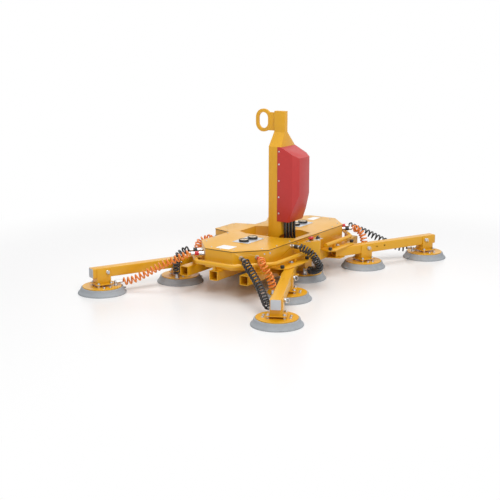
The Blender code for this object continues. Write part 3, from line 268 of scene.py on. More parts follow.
def swept(points, radius, sides=12):
    """A round tube along points, as a mesh with closed ends."""
    curve = bpy.data.curves.new("sweep", "CURVE")
    curve.dimensions = "3D"
    curve.bevel_depth = radius
    curve.bevel_resolution = max(0, sides // 2 - 2)
    curve.use_fill_caps = True
    spline = curve.splines.new("POLY")
    spline.points.add(len(points) - 1)
    for point, place in zip(spline.points, points):
        point.co = (*place, 1.0)
    holder = bpy.data.objects.new("sweep", curve)
    mesh = bpy.data.meshes.new_from_object(holder)
    shape = bmesh.new()
    shape.from_mesh(mesh)
    bpy.data.objects.remove(holder)
    bpy.data.curves.remove(curve)
    bpy.data.meshes.remove(mesh)
    return outward(shape)


def smooth_points(route, count):
    """Evenly spaced points on a smooth curve through a route, whose first and last points only lead."""
    fine = []
    for i in range(1, len(route) - 2):
        p0, p1, p2, p3 = route[i - 1:i + 3]
        for step in range(24):
            t = step / 24
            fine.append(
                p1
                + (p2 - p0) * (t / 2)
                + (p0 * 2 - p1 * 5 + p2 * 4 - p3) * (t * t / 2)
                + (p1 * 3 - p0 - p2 * 3 + p3) * (t * t * t / 2)
            )
    fine.append(route[-2])
    return evenly(fine, count)


def line_length(points):
    return sum((b - a).length for a, b in zip(points, points[1:]))


def evenly(line, count):
    """A given number of points at equal steps along a line of points."""
    lengths = [0.0]
    for a, b in zip(line, line[1:]):
        lengths.append(lengths[-1] + (b - a).length)
    points = []
    segment = 0
    for i in range(count):
        goal = lengths[-1] * i / (count - 1)
        while segment < len(line) - 2 and lengths[segment + 1] < goal:
            segment += 1
        share = (goal - lengths[segment]) / (lengths[segment + 1] - lengths[segment])
        points.append(line[segment].lerp(line[segment + 1], min(share, 1.0)))
    return points


def dressed_copy(node, edge, segments=2, shortest=0.0):
    """A copy of a solid with its loose triangles merged into flat faces and its edges rounded."""
    shape = bmesh.new()
    source = frame_node(node)
    shape.from_mesh(source.data)
    bmesh.ops.remove_doubles(shape, verts=shape.verts, dist=0.00001)
    bmesh.ops.dissolve_limit(
        shape, angle_limit=math.radians(1.0), verts=shape.verts, edges=shape.edges
    )
    return softened(shape, edge, segments, shortest=shortest)


def frame_node(node):
    return bpy.data.objects[node]


# Materials

def new_material(name):
    mat = bpy.data.materials.new(name)
    mat.use_nodes = True
    nodes = mat.node_tree.nodes
    return mat, nodes, mat.node_tree.links, nodes["Principled BSDF"]


def math_node(nodes, links, operation, first, second):
    """The output of a math node that joins two outputs."""
    node = nodes.new("ShaderNodeMath")
    node.operation = operation
    links.new(first, node.inputs[0])
    links.new(second, node.inputs[1])
    return node.outputs[0]


def group_socket(group, name, way, kind, value=None):
    socket = group.interface.new_socket(name=name, in_out=way, socket_type=kind)
    if value is not None:
        socket.default_value = value
    return socket


def make_surface_group():
    """Grain and light soiling that every finish shares: a colour, a roughness and a height."""
    group = bpy.data.node_groups.new("surface_finish", "ShaderNodeTree")
    group_socket(group, "Color", "INPUT", "NodeSocketColor", (0.8, 0.8, 0.8, 1.0))
    group_socket(group, "Soiled Color", "INPUT", "NodeSocketColor", (0.3, 0.25, 0.2, 1.0))
    group_socket(group, "Soiling", "INPUT", "NodeSocketFloat", 0.1)
    group_socket(group, "Roughness", "INPUT", "NodeSocketFloat", 0.4)
    group_socket(group, "Roughness Spread", "INPUT", "NodeSocketFloat", 0.08)
    group_socket(group, "Grain Scale", "INPUT", "NodeSocketFloat", 300.0)
    group_socket(group, "Color Result", "OUTPUT", "NodeSocketColor")
    group_socket(group, "Roughness Result", "OUTPUT", "NodeSocketFloat")
    group_socket(group, "Height Result", "OUTPUT", "NodeSocketFloat")
    nodes, links = group.nodes, group.links
    inputs = nodes.new("NodeGroupInput")
    outputs = nodes.new("NodeGroupOutput")
    place = nodes.new("ShaderNodeTexCoord")

    cloud = nodes.new("ShaderNodeTexNoise")
    cloud.inputs["Scale"].default_value = 5.0
    cloud.inputs["Detail"].default_value = 4.0
    links.new(place.outputs["Object"], cloud.inputs["Vector"])
    spots = nodes.new("ShaderNodeTexNoise")
    spots.inputs["Scale"].default_value = 38.0
    spots.inputs["Detail"].default_value = 6.0
    spots.inputs["Roughness"].default_value = 0.65
    links.new(place.outputs["Object"], spots.inputs["Vector"])
    grain = nodes.new("ShaderNodeTexNoise")
    grain.inputs["Detail"].default_value = 2.0
    links.new(place.outputs["Object"], grain.inputs["Vector"])
    links.new(inputs.outputs["Grain Scale"], grain.inputs["Scale"])

    patches = math_node(nodes, links, "MULTIPLY", cloud.outputs["Fac"], spots.outputs["Fac"])
    spread = nodes.new("ShaderNodeMapRange")
    spread.inputs["From Min"].default_value = 0.18
    spread.inputs["From Max"].default_value = 0.42
    links.new(patches, spread.inputs["Value"])
    amount = math_node(nodes, links, "MULTIPLY", spread.outputs["Result"], inputs.outputs["Soiling"])
    color = nodes.new("ShaderNodeMix")
    color.data_type = "RGBA"
    links.new(amount, color.inputs["Factor"])
    links.new(inputs.outputs["Color"], color.inputs["A"])
    links.new(inputs.outputs["Soiled Color"], color.inputs["B"])
    links.new(color.outputs["Result"], outputs.inputs["Color Result"])

    vary = nodes.new("ShaderNodeMath")
    vary.operation = "MULTIPLY_ADD"
    links.new(spread.outputs["Result"], vary.inputs[0])
    links.new(inputs.outputs["Roughness Spread"], vary.inputs[1])
    links.new(inputs.outputs["Roughness"], vary.inputs[2])
    links.new(vary.outputs[0], outputs.inputs["Roughness Result"])
    links.new(grain.outputs["Fac"], outputs.inputs["Height Result"])
    return group


def finish_material(name, color, roughness, metallic=0.0, soiled=None, soiling=0.1, spread=0.08,
                    grain=300.0, bump=0.02, bump_depth=0.001, coat=0.0, coat_roughness=0.1):
    """A Principled material whose colour, roughness and bump come from the shared surface group."""
    mat, nodes, links, shader = new_material(name)
    surface = nodes.new("ShaderNodeGroup")
    surface.node_tree = SURFACE_GROUP
    surface.inputs["Color"].default_value = (*color, 1.0)
    surface.inputs["Soiled Color"].default_value = (*(soiled or [c * 0.6 for c in color]), 1.0)
    surface.inputs["Soiling"].default_value = soiling
    surface.inputs["Roughness"].default_value = roughness
    surface.inputs["Roughness Spread"].default_value = spread
    surface.inputs["Grain Scale"].default_value = grain
    links.new(surface.outputs["Color Result"], shader.inputs["Base Color"])
    links.new(surface.outputs["Roughness Result"], shader.inputs["Roughness"])
    relief = nodes.new("ShaderNodeBump")
    relief.inputs["Strength"].default_value = bump
    relief.inputs["Distance"].default_value = bump_depth
    links.new(surface.outputs["Height Result"], relief.inputs["Height"])
    links.new(relief.outputs["Normal"], shader.inputs["Normal"])
    shader.inputs["Metallic"].default_value = metallic
    shader.inputs["Coat Weight"].default_value = coat
    shader.inputs["Coat Roughness"].default_value = coat_roughness
    return mat


SURFACE_GROUP = make_surface_group()
YELLOW = finish_material(
    "yellow_gloss_paint", (0.76, 0.380, 0.006), 0.34, soiled=(0.62, 0.29, 0.005), soiling=0.22,
    grain=420.0, bump=0.05, coat=0.12, coat_roughness=0.12,
)
RED = finish_material(
    "red_gloss_paint", (0.50, 0.024, 0.022), 0.34, soiled=(0.36, 0.016, 0.016), soiling=0.25,
    grain=420.0, bump=0.05, coat=0.12, coat_roughness=0.12,
)
GREY_RUBBER = finish_material(
    "grey_cup_rubber", (0.36, 0.38, 0.40), 0.62, soiled=(0.25, 0.26, 0.27), soiling=0.45,
    grain=900.0, bump=0.12,
)
END_CAP = finish_material(
    "grey_end_plug", (0.50, 0.51, 0.53), 0.50, soiled=(0.40, 0.40, 0.41), soiling=0.3,
    grain=700.0, bump=0.08,
)
STEEL = finish_material(
    "zinc_plated_steel", (0.62, 0.63, 0.65), 0.28, metallic=1.0, soiled=(0.42, 0.42, 0.42),
    soiling=0.5, spread=0.18, grain=600.0, bump=0.04,
)
PANEL_SILVER = finish_material(
    "brushed_panel", (0.66, 0.68, 0.72), 0.35, metallic=0.75, soiled=(0.55, 0.57, 0.60),
    soiling=0.4, grain=500.0, bump=0.03,
)
BLACK_PLASTIC = finish_material(
    "black_moulded_plastic", (0.014, 0.014, 0.015), 0.42, soiled=(0.04, 0.04, 0.04), soiling=0.5,
    grain=800.0, bump=0.1,
)
# Black rubber for the hose clamp. The same black also colours the strip under the lid's edge, where it is
# painted shade.
BLACK_RUBBER_AND_PAINTED_SHADE = finish_material(
    "black_rubber_and_painted_shade", (0.016, 0.016, 0.017), 0.38, soiled=(0.05, 0.05, 0.05), soiling=0.5,
    grain=500.0, bump=0.05,
)
RED_PLASTIC = finish_material(
    "red_moulded_plastic", (0.62, 0.012, 0.02), 0.30, soiled=(0.45, 0.01, 0.015), soiling=0.3,
    grain=800.0, bump=0.03, coat=0.3,
)
BLACK_HOSE = finish_material(
    "black_curly_hose", (0.012, 0.012, 0.014), 0.26, soiled=(0.03, 0.03, 0.03), soiling=0.4,
    grain=400.0, bump=0.03, coat=0.3,
)
ORANGE_HOSE = finish_material(
    "orange_curly_hose", (0.86, 0.25, 0.020), 0.28, soiled=(0.68, 0.17, 0.012), soiling=0.4,
    grain=400.0, bump=0.03, coat=0.3,
)
ALUMINIUM = finish_material(
    "cast_aluminium_housing", (0.55, 0.56, 0.57), 0.45, metallic=1.0, soiled=(0.4, 0.4, 0.4),
    soiling=0.5, grain=350.0, bump=0.15,
)
WHITE_PLATE = finish_material(
    "white_bare_plate", (0.88, 0.88, 0.87), 0.35, soiled=(0.75, 0.74, 0.72), soiling=0.3,
    grain=500.0, bump=0.02,
)
DIAL_FACE = finish_material(
    "cream_dial", (0.80, 0.66, 0.48), 0.40, soiled=(0.7, 0.56, 0.4), soiling=0.2,
    grain=500.0, bump=0.01,
)


# Pieces

def finished(name, shape, mat, body, replaces=(), smooth=40):
    """Makes a shape into a piece that moves with a body."""
    mesh = bpy.data.meshes.new(name)
    shape.to_mesh(mesh)
    shape.free()
    mesh.materials.append(mat)
    mesh.shade_smooth()
    mesh.set_sharp_from_angle(angle=math.radians(smooth))
    obj = bpy.data.objects.new(name, mesh)
    bpy.context.scene.collection.objects.link(obj)
    if body is not None:
        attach(obj, body)
    if replaces:
        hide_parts(*replaces)
    return obj


def quarter(point, sign_x, sign_y):
    return Vector((sign_x * point.x, sign_y * point.y, point.z))


def end_panel_normal():
    way = (LOBE_SHOULDER - LOBE_END).normalized()
    return Vector((way.y, -way.x, 0.0))


def coupler_foot(distance):
    way = (LOBE_SHOULDER - LOBE_END).normalized()
    foot = LOBE_END + way * distance
    foot.z = COUPLER_Z
    return foot


def arm_matrix(sign_x, sign_y):
    """From an arm's own frame, with +X along the arm, to the row frame."""
    angle = math.atan2(sign_y * math.sin(ARM_ANGLE), sign_x * math.cos(ARM_ANGLE))
    return Matrix.Translation(quarter(ARM_PIVOT, sign_x, sign_y)) @ Matrix.Rotation(angle, 4, "Z")


def arm_point(distance, sideways, height, sign_x, sign_y):
    """A point along an arm, sideways towards its hoses, and up."""
    x = ARM_PIVOT.x + distance * math.cos(ARM_ANGLE) + sideways * math.sin(ARM_ANGLE)
    y = ARM_PIVOT.y + distance * math.sin(ARM_ANGLE) - sideways * math.cos(ARM_ANGLE)
    return Vector((sign_x * x, sign_y * y, height))


# Curly hoses, on the same routes as their solids

def coil_points(route, turns, phase, plain=0.002, ramp=0.28):
    """A helix round a smooth line, with a plain straight end at both seats."""
    start, start_way, middle, end, end_way = route
    leads = [start + start_way * HOSE_LEAD, *middle, end + end_way * HOSE_LEAD]
    line = [start, *smooth_points([start, *leads, end], 160), end]
    length = line_length(line)
    count = int(turns * POINTS_PER_TURN) + 1
    centre = evenly(line, count + 1)
    first = plain / length
    side = (centre[1] - centre[0]).orthogonal().normalized()
    points = []
    before = (centre[1] - centre[0]).normalized()
    for i, place in enumerate(centre):
        ahead = centre[min(i + 1, len(centre) - 1)] - centre[max(i - 1, 0)]
        ahead.normalize()
        side = before.rotation_difference(ahead) @ side
        side = (side - ahead * side.dot(ahead)).normalized()
        before = ahead
        across = ahead.cross(side)
        share = i / (len(centre) - 1)
        ease = min(share - first, 1.0 - first - share) * turns / ramp
        reach = COIL_RADIUS * smooth_step(ease)
        angle = phase + math.tau * turns * share
        points.append(place + side * (math.cos(angle) * reach) + across * (math.sin(angle) * reach))
    return points


def smooth_step(value):
    value = min(max(value, 0.0), 1.0)
    return value * value * (3.0 - 2.0 * value)


def make_hose(name, route, turns, phase, mat, slot, body, arm_body=None):
    """A curly hose that ends on two seats."""
    points = coil_points(route, turns, phase)
    hose = finished(name + "_coil", swept(points, HOSE_RADIUS, 10), mat, None, (name,), 60)
    if arm_body is None:
        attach(hose, body)
    else:
        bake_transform(hose)
    return hose


OUTER_FITTING = (Vector((-0.072, 0.040, 0.0)), Vector((-0.112, 0.056, 0.067)))
INNER_FITTING = (Vector((0.064, 0.078, 0.0)), Vector((0.064, 0.078, 0.064)))
CENTRE_FITTING = (Vector((-0.072, 0.050, 0.0)), Vector((-0.072, 0.075, 0.077)))
FITTING_RADIUS = 0.008
FRONT_COUPLER = (Vector((-0.205, -0.250, 0.253)), Vector((0.0, -FRONT_COUPLER_LENGTH, -0.002)))


def rear_coupler():
    """Foot and reach of the coupler on the left side of the rear bay."""
    foot = BAY_ROOT.lerp(BAY_END, 0.48)
    place = Vector((-foot.x, foot.y, 0.240))
    slant = Vector((BAY_ROOT.x - BAY_END.x, BAY_END.y - BAY_ROOT.y, 0.0)).normalized()
    return place, Vector((-slant.y, slant.x, 0.0)) * COUPLER_LENGTH


def outer_route(sign_x, sign_y):
    way = quarter(end_panel_normal(), sign_x, sign_y)
    start = quarter(coupler_foot(COUPLER_ALONG[0]), sign_x, sign_y) + way * (COUPLER_LENGTH + GAP)
    foot, end = OUTER_FITTING
    barb_end = arm_point(OUTER_CUP + end.x, end.y, end.z, sign_x, sign_y)
    barb_foot = arm_point(OUTER_CUP + foot.x, foot.y, end.z, sign_x, sign_y)
    end_way = (barb_end - barb_foot).normalized()
    middle = [
        arm_point(0.325, 0.224, 0.216, sign_x, sign_y),
        arm_point(0.400, 0.180, 0.180, sign_x, sign_y),
        arm_point(0.480, 0.133, 0.134, sign_x, sign_y),
        arm_point(0.555, 0.098, 0.093, sign_x, sign_y),
        arm_point(0.600, 0.080, 0.074, sign_x, sign_y),
    ]
    return start, way, middle, barb_end + end_way * GAP, end_way


def inner_route(sign_x, sign_y):
    way = quarter(end_panel_normal(), sign_x, sign_y)
    start = quarter(coupler_foot(COUPLER_ALONG[1]), sign_x, sign_y) + way * (COUPLER_LENGTH + GAP)
    end = INNER_FITTING[1]
    top = arm_point(INNER_CUP + end.x, end.y, end.z + FITTING_RADIUS * 0.8 + GAP, sign_x, sign_y)
    middle = [
        arm_point(0.280, 0.146, 0.226, sign_x, sign_y),
        arm_point(0.300, 0.118, 0.190, sign_x, sign_y),
        arm_point(0.297, 0.094, 0.140, sign_x, sign_y),
    ]
    return start, way, middle, top, UP.copy()


def centre_route(sign_y):
    end = CENTRE_FITTING[1]
    end_way = Vector((0.0, sign_y, 0.0))
    barb_end = Vector((end.x, sign_y * (BODY_TUBE_SPACING + end.y + GAP), end.z))
    if sign_y < 0:
        place, reach = FRONT_COUPLER
        middle = [
            Vector((-0.200, -0.356, 0.238)),
            Vector((-0.186, -0.392, 0.210)),
            Vector((-0.164, -0.410, 0.168)),
            Vector((-0.130, -0.412, 0.122)),
            Vector((-0.092, -0.362, 0.088)),
        ]
    else:
        place, reach = rear_coupler()
        middle = [
            Vector((-0.252, 0.366, 0.238)),
            Vector((-0.275, 0.400, 0.220)),
            Vector((-0.262, 0.430, 0.176)),
            Vector((-0.220, 0.432, 0.132)),
            Vector((-0.150, 0.402, 0.100)),
            Vector((-0.092, 0.352, 0.084)),
        ]
    way = reach.normalized()
    return place + reach + way * GAP, way, middle, barb_end, end_way


def make_hoses():
    turns_outer, turns_inner, turns_centre = 17, 10, 19
    black = (BLACK_HOSE, "black_hose")
    orange = (ORANGE_HOSE, "orange_hose")
    for count, (side, (sign_x, sign_y)) in enumerate(QUARTERS.items()):
        inner, outer = (orange, black) if sign_y < 0 else (black, orange)
        arm = "arm_" + side
        route = outer_route(sign_x, sign_y)
        make_hose(f"hose_{side}_outer", route, turns_outer, 0.7 * count, *outer, "frame", arm)
        route = inner_route(sign_x, sign_y)
        make_hose(f"hose_{side}_inner", route, turns_inner, 0.9 * count, *inner, "frame", arm)
    make_hose("hose_front_centre", centre_route(-1), turns_centre, 0.4, *black, "frame")
    make_hose("hose_rear_centre", centre_route(1), turns_centre, 1.1, *orange, "frame")


# Body tubes and the brackets that carry the arms

BRACKET_PLATE = 0.008
BRACKET_WEB = 0.006
BRACKET_LEFT = 0.135
BRACKET_RIGHT = 0.465
BRACKET_END_Y = 0.362
BRACKET_CORNER = 0.035
STOP_KNOB_OFFSET = 0.149
STOP_KNOB_Y = 0.334
ARM_UPPER = TUBE_MID_Z + ARM_TUBE / 2 + SWIVEL_GAP
ARM_LOWER = TUBE_MID_Z - ARM_TUBE / 2 - SWIVEL_GAP
BRACKET_TOP = ARM_UPPER + BRACKET_PLATE


def inset(outline, distance):
    """Moves each side of an anticlockwise outline inwards."""
    moved = []
    for before, corner, after in zip(outline[-1:] + outline[:-1], outline, outline[1:] + outline[:1]):
        before, corner, after = Vector(before), Vector(corner), Vector(after)
        side_in = (corner - before).normalized()
        side_out = (after - corner).normalized()
        normal_in = Vector((-side_in.y, side_in.x))
        middle = (normal_in + Vector((-side_out.y, side_out.x))).normalized()
        moved.append(tuple(corner + middle * (distance / middle.dot(normal_in))))
    return moved


def mirror_matrix(sign_x, sign_y):
    return Matrix.Diagonal((sign_x, sign_y, 1.0, 1.0))


def laid_along_x(shape, start_x, mid_y):
    """Lays a tube that was made along +Z down along +X at the height of the body tubes."""
    turn = Matrix(((0, 0, 1, start_x), (1, 0, 0, mid_y), (0, 1, 0, TUBE_MID_Z), (0, 0, 0, 1)))
    return placed(shape, turn)


def body_tube(mid_y):
    tube = square_tube(BODY_TUBE, BODY_TUBE_WALL, BODY_TUBE_LENGTH)
    return laid_along_x(tube, -BODY_TUBE_LENGTH / 2, mid_y)


def bay_side(y):
    """Half the width of the rear bay at a distance from the middle."""
    share = (y - BAY_ROOT.y) / (BAY_END.y - BAY_ROOT.y)
    return BAY_ROOT.x + (BAY_END.x - BAY_ROOT.x) * share


def bracket_shape():
    """Two plates and a web that carry one arm, in the +X +Y quarter."""
    start = LOBE_SHOULDER.y + 0.001
    tube_side = BODY_TUBE_SPACING + BODY_TUBE / 2
    beside_bay = bay_side(start) + 0.003
    corner_y = BRACKET_END_Y - BRACKET_CORNER
    top = plate(
        [
            (beside_bay, start),
            (BRACKET_RIGHT, start),
            (BRACKET_RIGHT, corner_y),
            (BRACKET_RIGHT - BRACKET_CORNER, BRACKET_END_Y),
            (BRACKET_LEFT + BRACKET_CORNER, BRACKET_END_Y),
            (bay_side(corner_y) + 0.003, corner_y),
        ],
        ARM_UPPER, BRACKET_TOP, 0.0012,
    )
    tip_y = ARM_PIVOT.y + 0.040
    tongue = [(-0.058, start), (0.058, start), (0.032, tip_y), (-0.032, tip_y)]
    foot = ARM_LOWER - BRACKET_PLATE
    bottom = plate([(ARM_PIVOT.x + x, y) for x, y in tongue], foot, ARM_LOWER, 0.0012)
    web = box(
        (BRACKET_LEFT + 0.001, tube_side - 0.001, foot + 0.001),
        (BRACKET_RIGHT - 0.001, tube_side + BRACKET_WEB, TUBE_TOP - 0.0005), 0.0008,
    )
    riser = box(
        (beside_bay + 0.0005, start + 0.0002, TUBE_TOP - 0.030),
        (BRACKET_RIGHT - 0.001, tube_side + BRACKET_WEB - 0.0003, ARM_UPPER + 0.002),
    )
    boss_foot = (ARM_PIVOT.x, ARM_PIVOT.y, BRACKET_TOP - 0.0005)
    boss = bar(boss_foot, Vector(boss_foot) + UP * 0.0045, 0.021, 36, 0.0012)
    return joined(top, bottom, web, riser, boss)


def make_body_tubes():
    finished("centre_tube_rolled", body_tube(0.0), YELLOW, "frame", ("centre_tube",))
    for side, sign_y in (("front", -1), ("rear", 1)):
        node = "side_tube_" + side
        shape = body_tube(sign_y * BODY_TUBE_SPACING)
        for sign_x in (-1, 1):
            joined(shape, placed(bracket_shape(), mirror_matrix(sign_x, sign_y)))
        finished(node + "_welded", shape, YELLOW, "frame", (node,))


def make_bracket_fittings(side, sign_x, sign_y):
    """The pivot bolts and the two stop knobs of one bracket."""
    mirror = mirror_matrix(sign_x, sign_y)
    pivot = Vector((ARM_PIVOT.x, ARM_PIVOT.y, BRACKET_TOP + 0.004))
    below = Vector((ARM_PIVOT.x, ARM_PIVOT.y, ARM_LOWER - BRACKET_PLATE))
    bolts = joined(
        hex_bolt(pivot, 0.0115, 0.008),
        hex_bolt(below, 0.0105, 0.007, way=-UP),
    )
    finished(f"pivot_bolt_{side}", placed(bolts, mirror), STEEL, "frame")
    knobs = bmesh.new()
    profile = [(0.0, 0.0), (0.0095, 0.0), (0.0095, 0.003), (0.0122, 0.004), (0.013, 0.006),
               (0.013, 0.015), (0.0118, 0.0185), (0.0085, 0.020), (0.0, 0.0203)]
    for offset in (-STOP_KNOB_OFFSET, STOP_KNOB_OFFSET):
        place = (ARM_PIVOT.x + offset, STOP_KNOB_Y, BRACKET_TOP - 0.0005)
        joined(knobs, placed(turned(profile, 24), Matrix.Translation(place)))
    finished(f"stop_knobs_{side}", placed(knobs, mirror), BLACK_PLASTIC, "frame")


# Housing, lid, gauges and controls

LOBE_SCREWS = ((0.600, 0.082), (0.480, 0.205), (0.355, 0.235), (0.200, 0.235), (0.625, 0.0))
BAY_SCREWS = ((-0.085, 0.378), (0.085, 0.378), (0.0, 0.378), (-0.125, 0.290), (0.125, 0.290))
GAUGE_PANEL_X = 0.315
GAUGE_OFFSET = 0.050
DIAL_START = -225
DIAL_STEP = 27
ZONE_START = -218
ZONE_STEP = 9.5


def make_housing():
    tray = dressed_copy("housing", 0.0016, 2, 0.016)
    finished("housing_folded", tray, YELLOW, "frame", ("housing",), 30)
    lid = dressed_copy("lid", 0.0013, 2)
    finished("lid_plate", lid, YELLOW, "frame", ("lid",), 30)
    screws = bmesh.new()
    for x, y in LOBE_SCREWS:
        for sign_x in (-1, 1):
            for sign_y in (-1, 1):
                if y or sign_y > 0:
                    joined(screws, hex_bolt((sign_x * x, sign_y * y, LID_TOP), 0.0038, 0.0026))
    for x, y in BAY_SCREWS:
        joined(screws, hex_bolt((x, y, LID_TOP), 0.0038, 0.0026))
    finished("lid_screws", screws, STEEL, "frame")
    front = [(corner.x, corner.y) for corner in (LOBE_END, LOBE_SHOULDER, BAY_ROOT)]
    rear = [*front, (BAY_END.x, BAY_END.y)]
    outline = rear + [(-x, y) for x, y in reversed(rear)]
    outline += [(-x, -y) for x, y in front] + [(x, -y) for x, y in reversed(front)]
    # A black strip just under the lid's overhang: painted shade standing for the dark gap line between
    # the lid and the tray.
    shade_strip = band(inset(outline, 0.0005), inset(outline, -0.0012), TRAY_TOP - 0.0030, TRAY_TOP)
    finished("lid_painted_shade_strip", shade_strip, BLACK_RUBBER_AND_PAINTED_SHADE, "frame")
    left = plate(round_rectangle(0.045, 0.050, 0.004), 0.0, 0.0012, 0.0003)
    right = plate(round_rectangle(0.052, 0.027, 0.004), 0.0, 0.0012, 0.0003)
    placed(left, Matrix.Translation((-0.560, 0.0, LID_TOP)))
    placed(right, Matrix.Translation((0.545, 0.018, LID_TOP)))
    finished("bare_plates", joined(left, right), WHITE_PLATE, "frame")


def make_panel_seams():
    """Screws on the front left end panel."""
    normal = quarter(end_panel_normal(), -1, -1)
    screws = bmesh.new()
    for x, y, z in ((-0.491, -0.232, 0.253), (-0.465, -0.255, 0.257)):
        on_panel = Vector((x, y, z))
        corner = quarter(LOBE_SHOULDER, -1, -1)
        corner.z = z
        on_panel -= normal * (on_panel - corner).dot(normal)
        joined(screws, hex_bolt(on_panel, 0.0034, 0.0022, way=normal))
    finished("end_panel_screws", screws, STEEL, "frame")


def make_gauge_panel(side, sign):
    centre = sign * GAUGE_PANEL_X
    face = LID_TOP + GAP + 0.002
    base = plate(round_rectangle(0.095, 0.060, 0.006), LID_TOP + GAP, face, 0.0005)
    placed(base, Matrix.Translation((centre, 0.0, 0.0)))
    node = "gauge_panel_" + side
    finished(node + "_plate", base, PANEL_SILVER, "frame", (node,))
    bezels, dials, marks, needles, screws, zones = [bmesh.new() for _ in range(6)]
    for offset in (-GAUGE_OFFSET, GAUGE_OFFSET):
        place = Matrix.Translation((centre + offset, 0.0, face))
        bezel = turned([(0.0, 0.0), (0.0305, 0.0), (0.0315, 0.001), (0.0320, 0.003), (0.0320, 0.011),
                        (0.0312, 0.0132), (0.0298, 0.0140), (0.0282, 0.0138), (0.0272, 0.0125),
                        (0.0268, 0.0105), (0.0, 0.0105)], 56)
        joined(bezels, placed(bezel, place))
        dial = bar((0.0, 0.0, 0.0100), (0.0, 0.0, 0.0110), 0.0266, 48, 0.0002)
        joined(dials, placed(dial, place))
        for tick in range(11):
            angle = math.radians(DIAL_START + DIAL_STEP * tick)
            tick_start = 0.0195 if tick % 5 == 0 else 0.0215
            mark = box((tick_start, -0.0004, 0.0109), (0.0240, 0.0004, 0.0113), 0.0001)
            joined(marks, placed(mark, place @ Matrix.Rotation(angle, 4, "Z")))
        for step in range(9):
            angle = math.radians(ZONE_START + ZONE_STEP * step)
            zone = box((0.0185, -0.0015, 0.0109), (0.0210, 0.0015, 0.0112), 0.0001)
            joined(zones, placed(zone, place @ Matrix.Rotation(angle, 4, "Z")))
        needle = plate([(-0.006, -0.0011), (0.018, -0.0003), (0.018, 0.0003), (-0.006, 0.0011)],
                       0.0116, 0.0121, 0.0001)
        joined(needle, bar((0.0, 0.0, 0.0109), (0.0, 0.0, 0.0128), 0.0028, 20, 0.0004))
        joined(needles, placed(needle, place @ Matrix.Rotation(math.radians(DIAL_START), 4, "Z")))
        for x in (-0.036, 0.036):
            for y in (-0.050, 0.050):
                if abs(offset + x) > GAUGE_OFFSET:
                    joined(screws, hex_bolt((centre + offset + x, y, face), 0.0026, 0.0018))
    finished(node + "_bezels", bezels, BLACK_PLASTIC, "frame")
    finished(node + "_dials", dials, DIAL_FACE, "frame")
    finished(node + "_marks", marks, BLACK_PLASTIC, "frame")
    finished(node + "_zones", zones, RED_PLASTIC, "frame")
    finished(node + "_needles", needles, BLACK_PLASTIC, "frame")
    finished(node + "_screws", screws, STEEL, "frame")


BAY_SLOPE = (TRAY_TOP - BAY_INNER_Z) / (-NOSE_LEFT.y - BAY_ROOT.y)
ON_BAY = (
    Matrix.Translation((0.0, -BAY_ROOT.y, BAY_INNER_Z + GAP))
    @ Matrix.Rotation(-math.atan(BAY_SLOPE), 4, "X")
)
PANEL_FACE = 0.0025
STOP_BUTTON = (-0.047, -0.054)
SWITCH = (-0.007, -0.080)
KEY_SWITCH = (-0.094, -0.056)


def on_panel(x, y, z=PANEL_FACE):
    return ON_BAY @ Matrix.Translation((x, y, z))


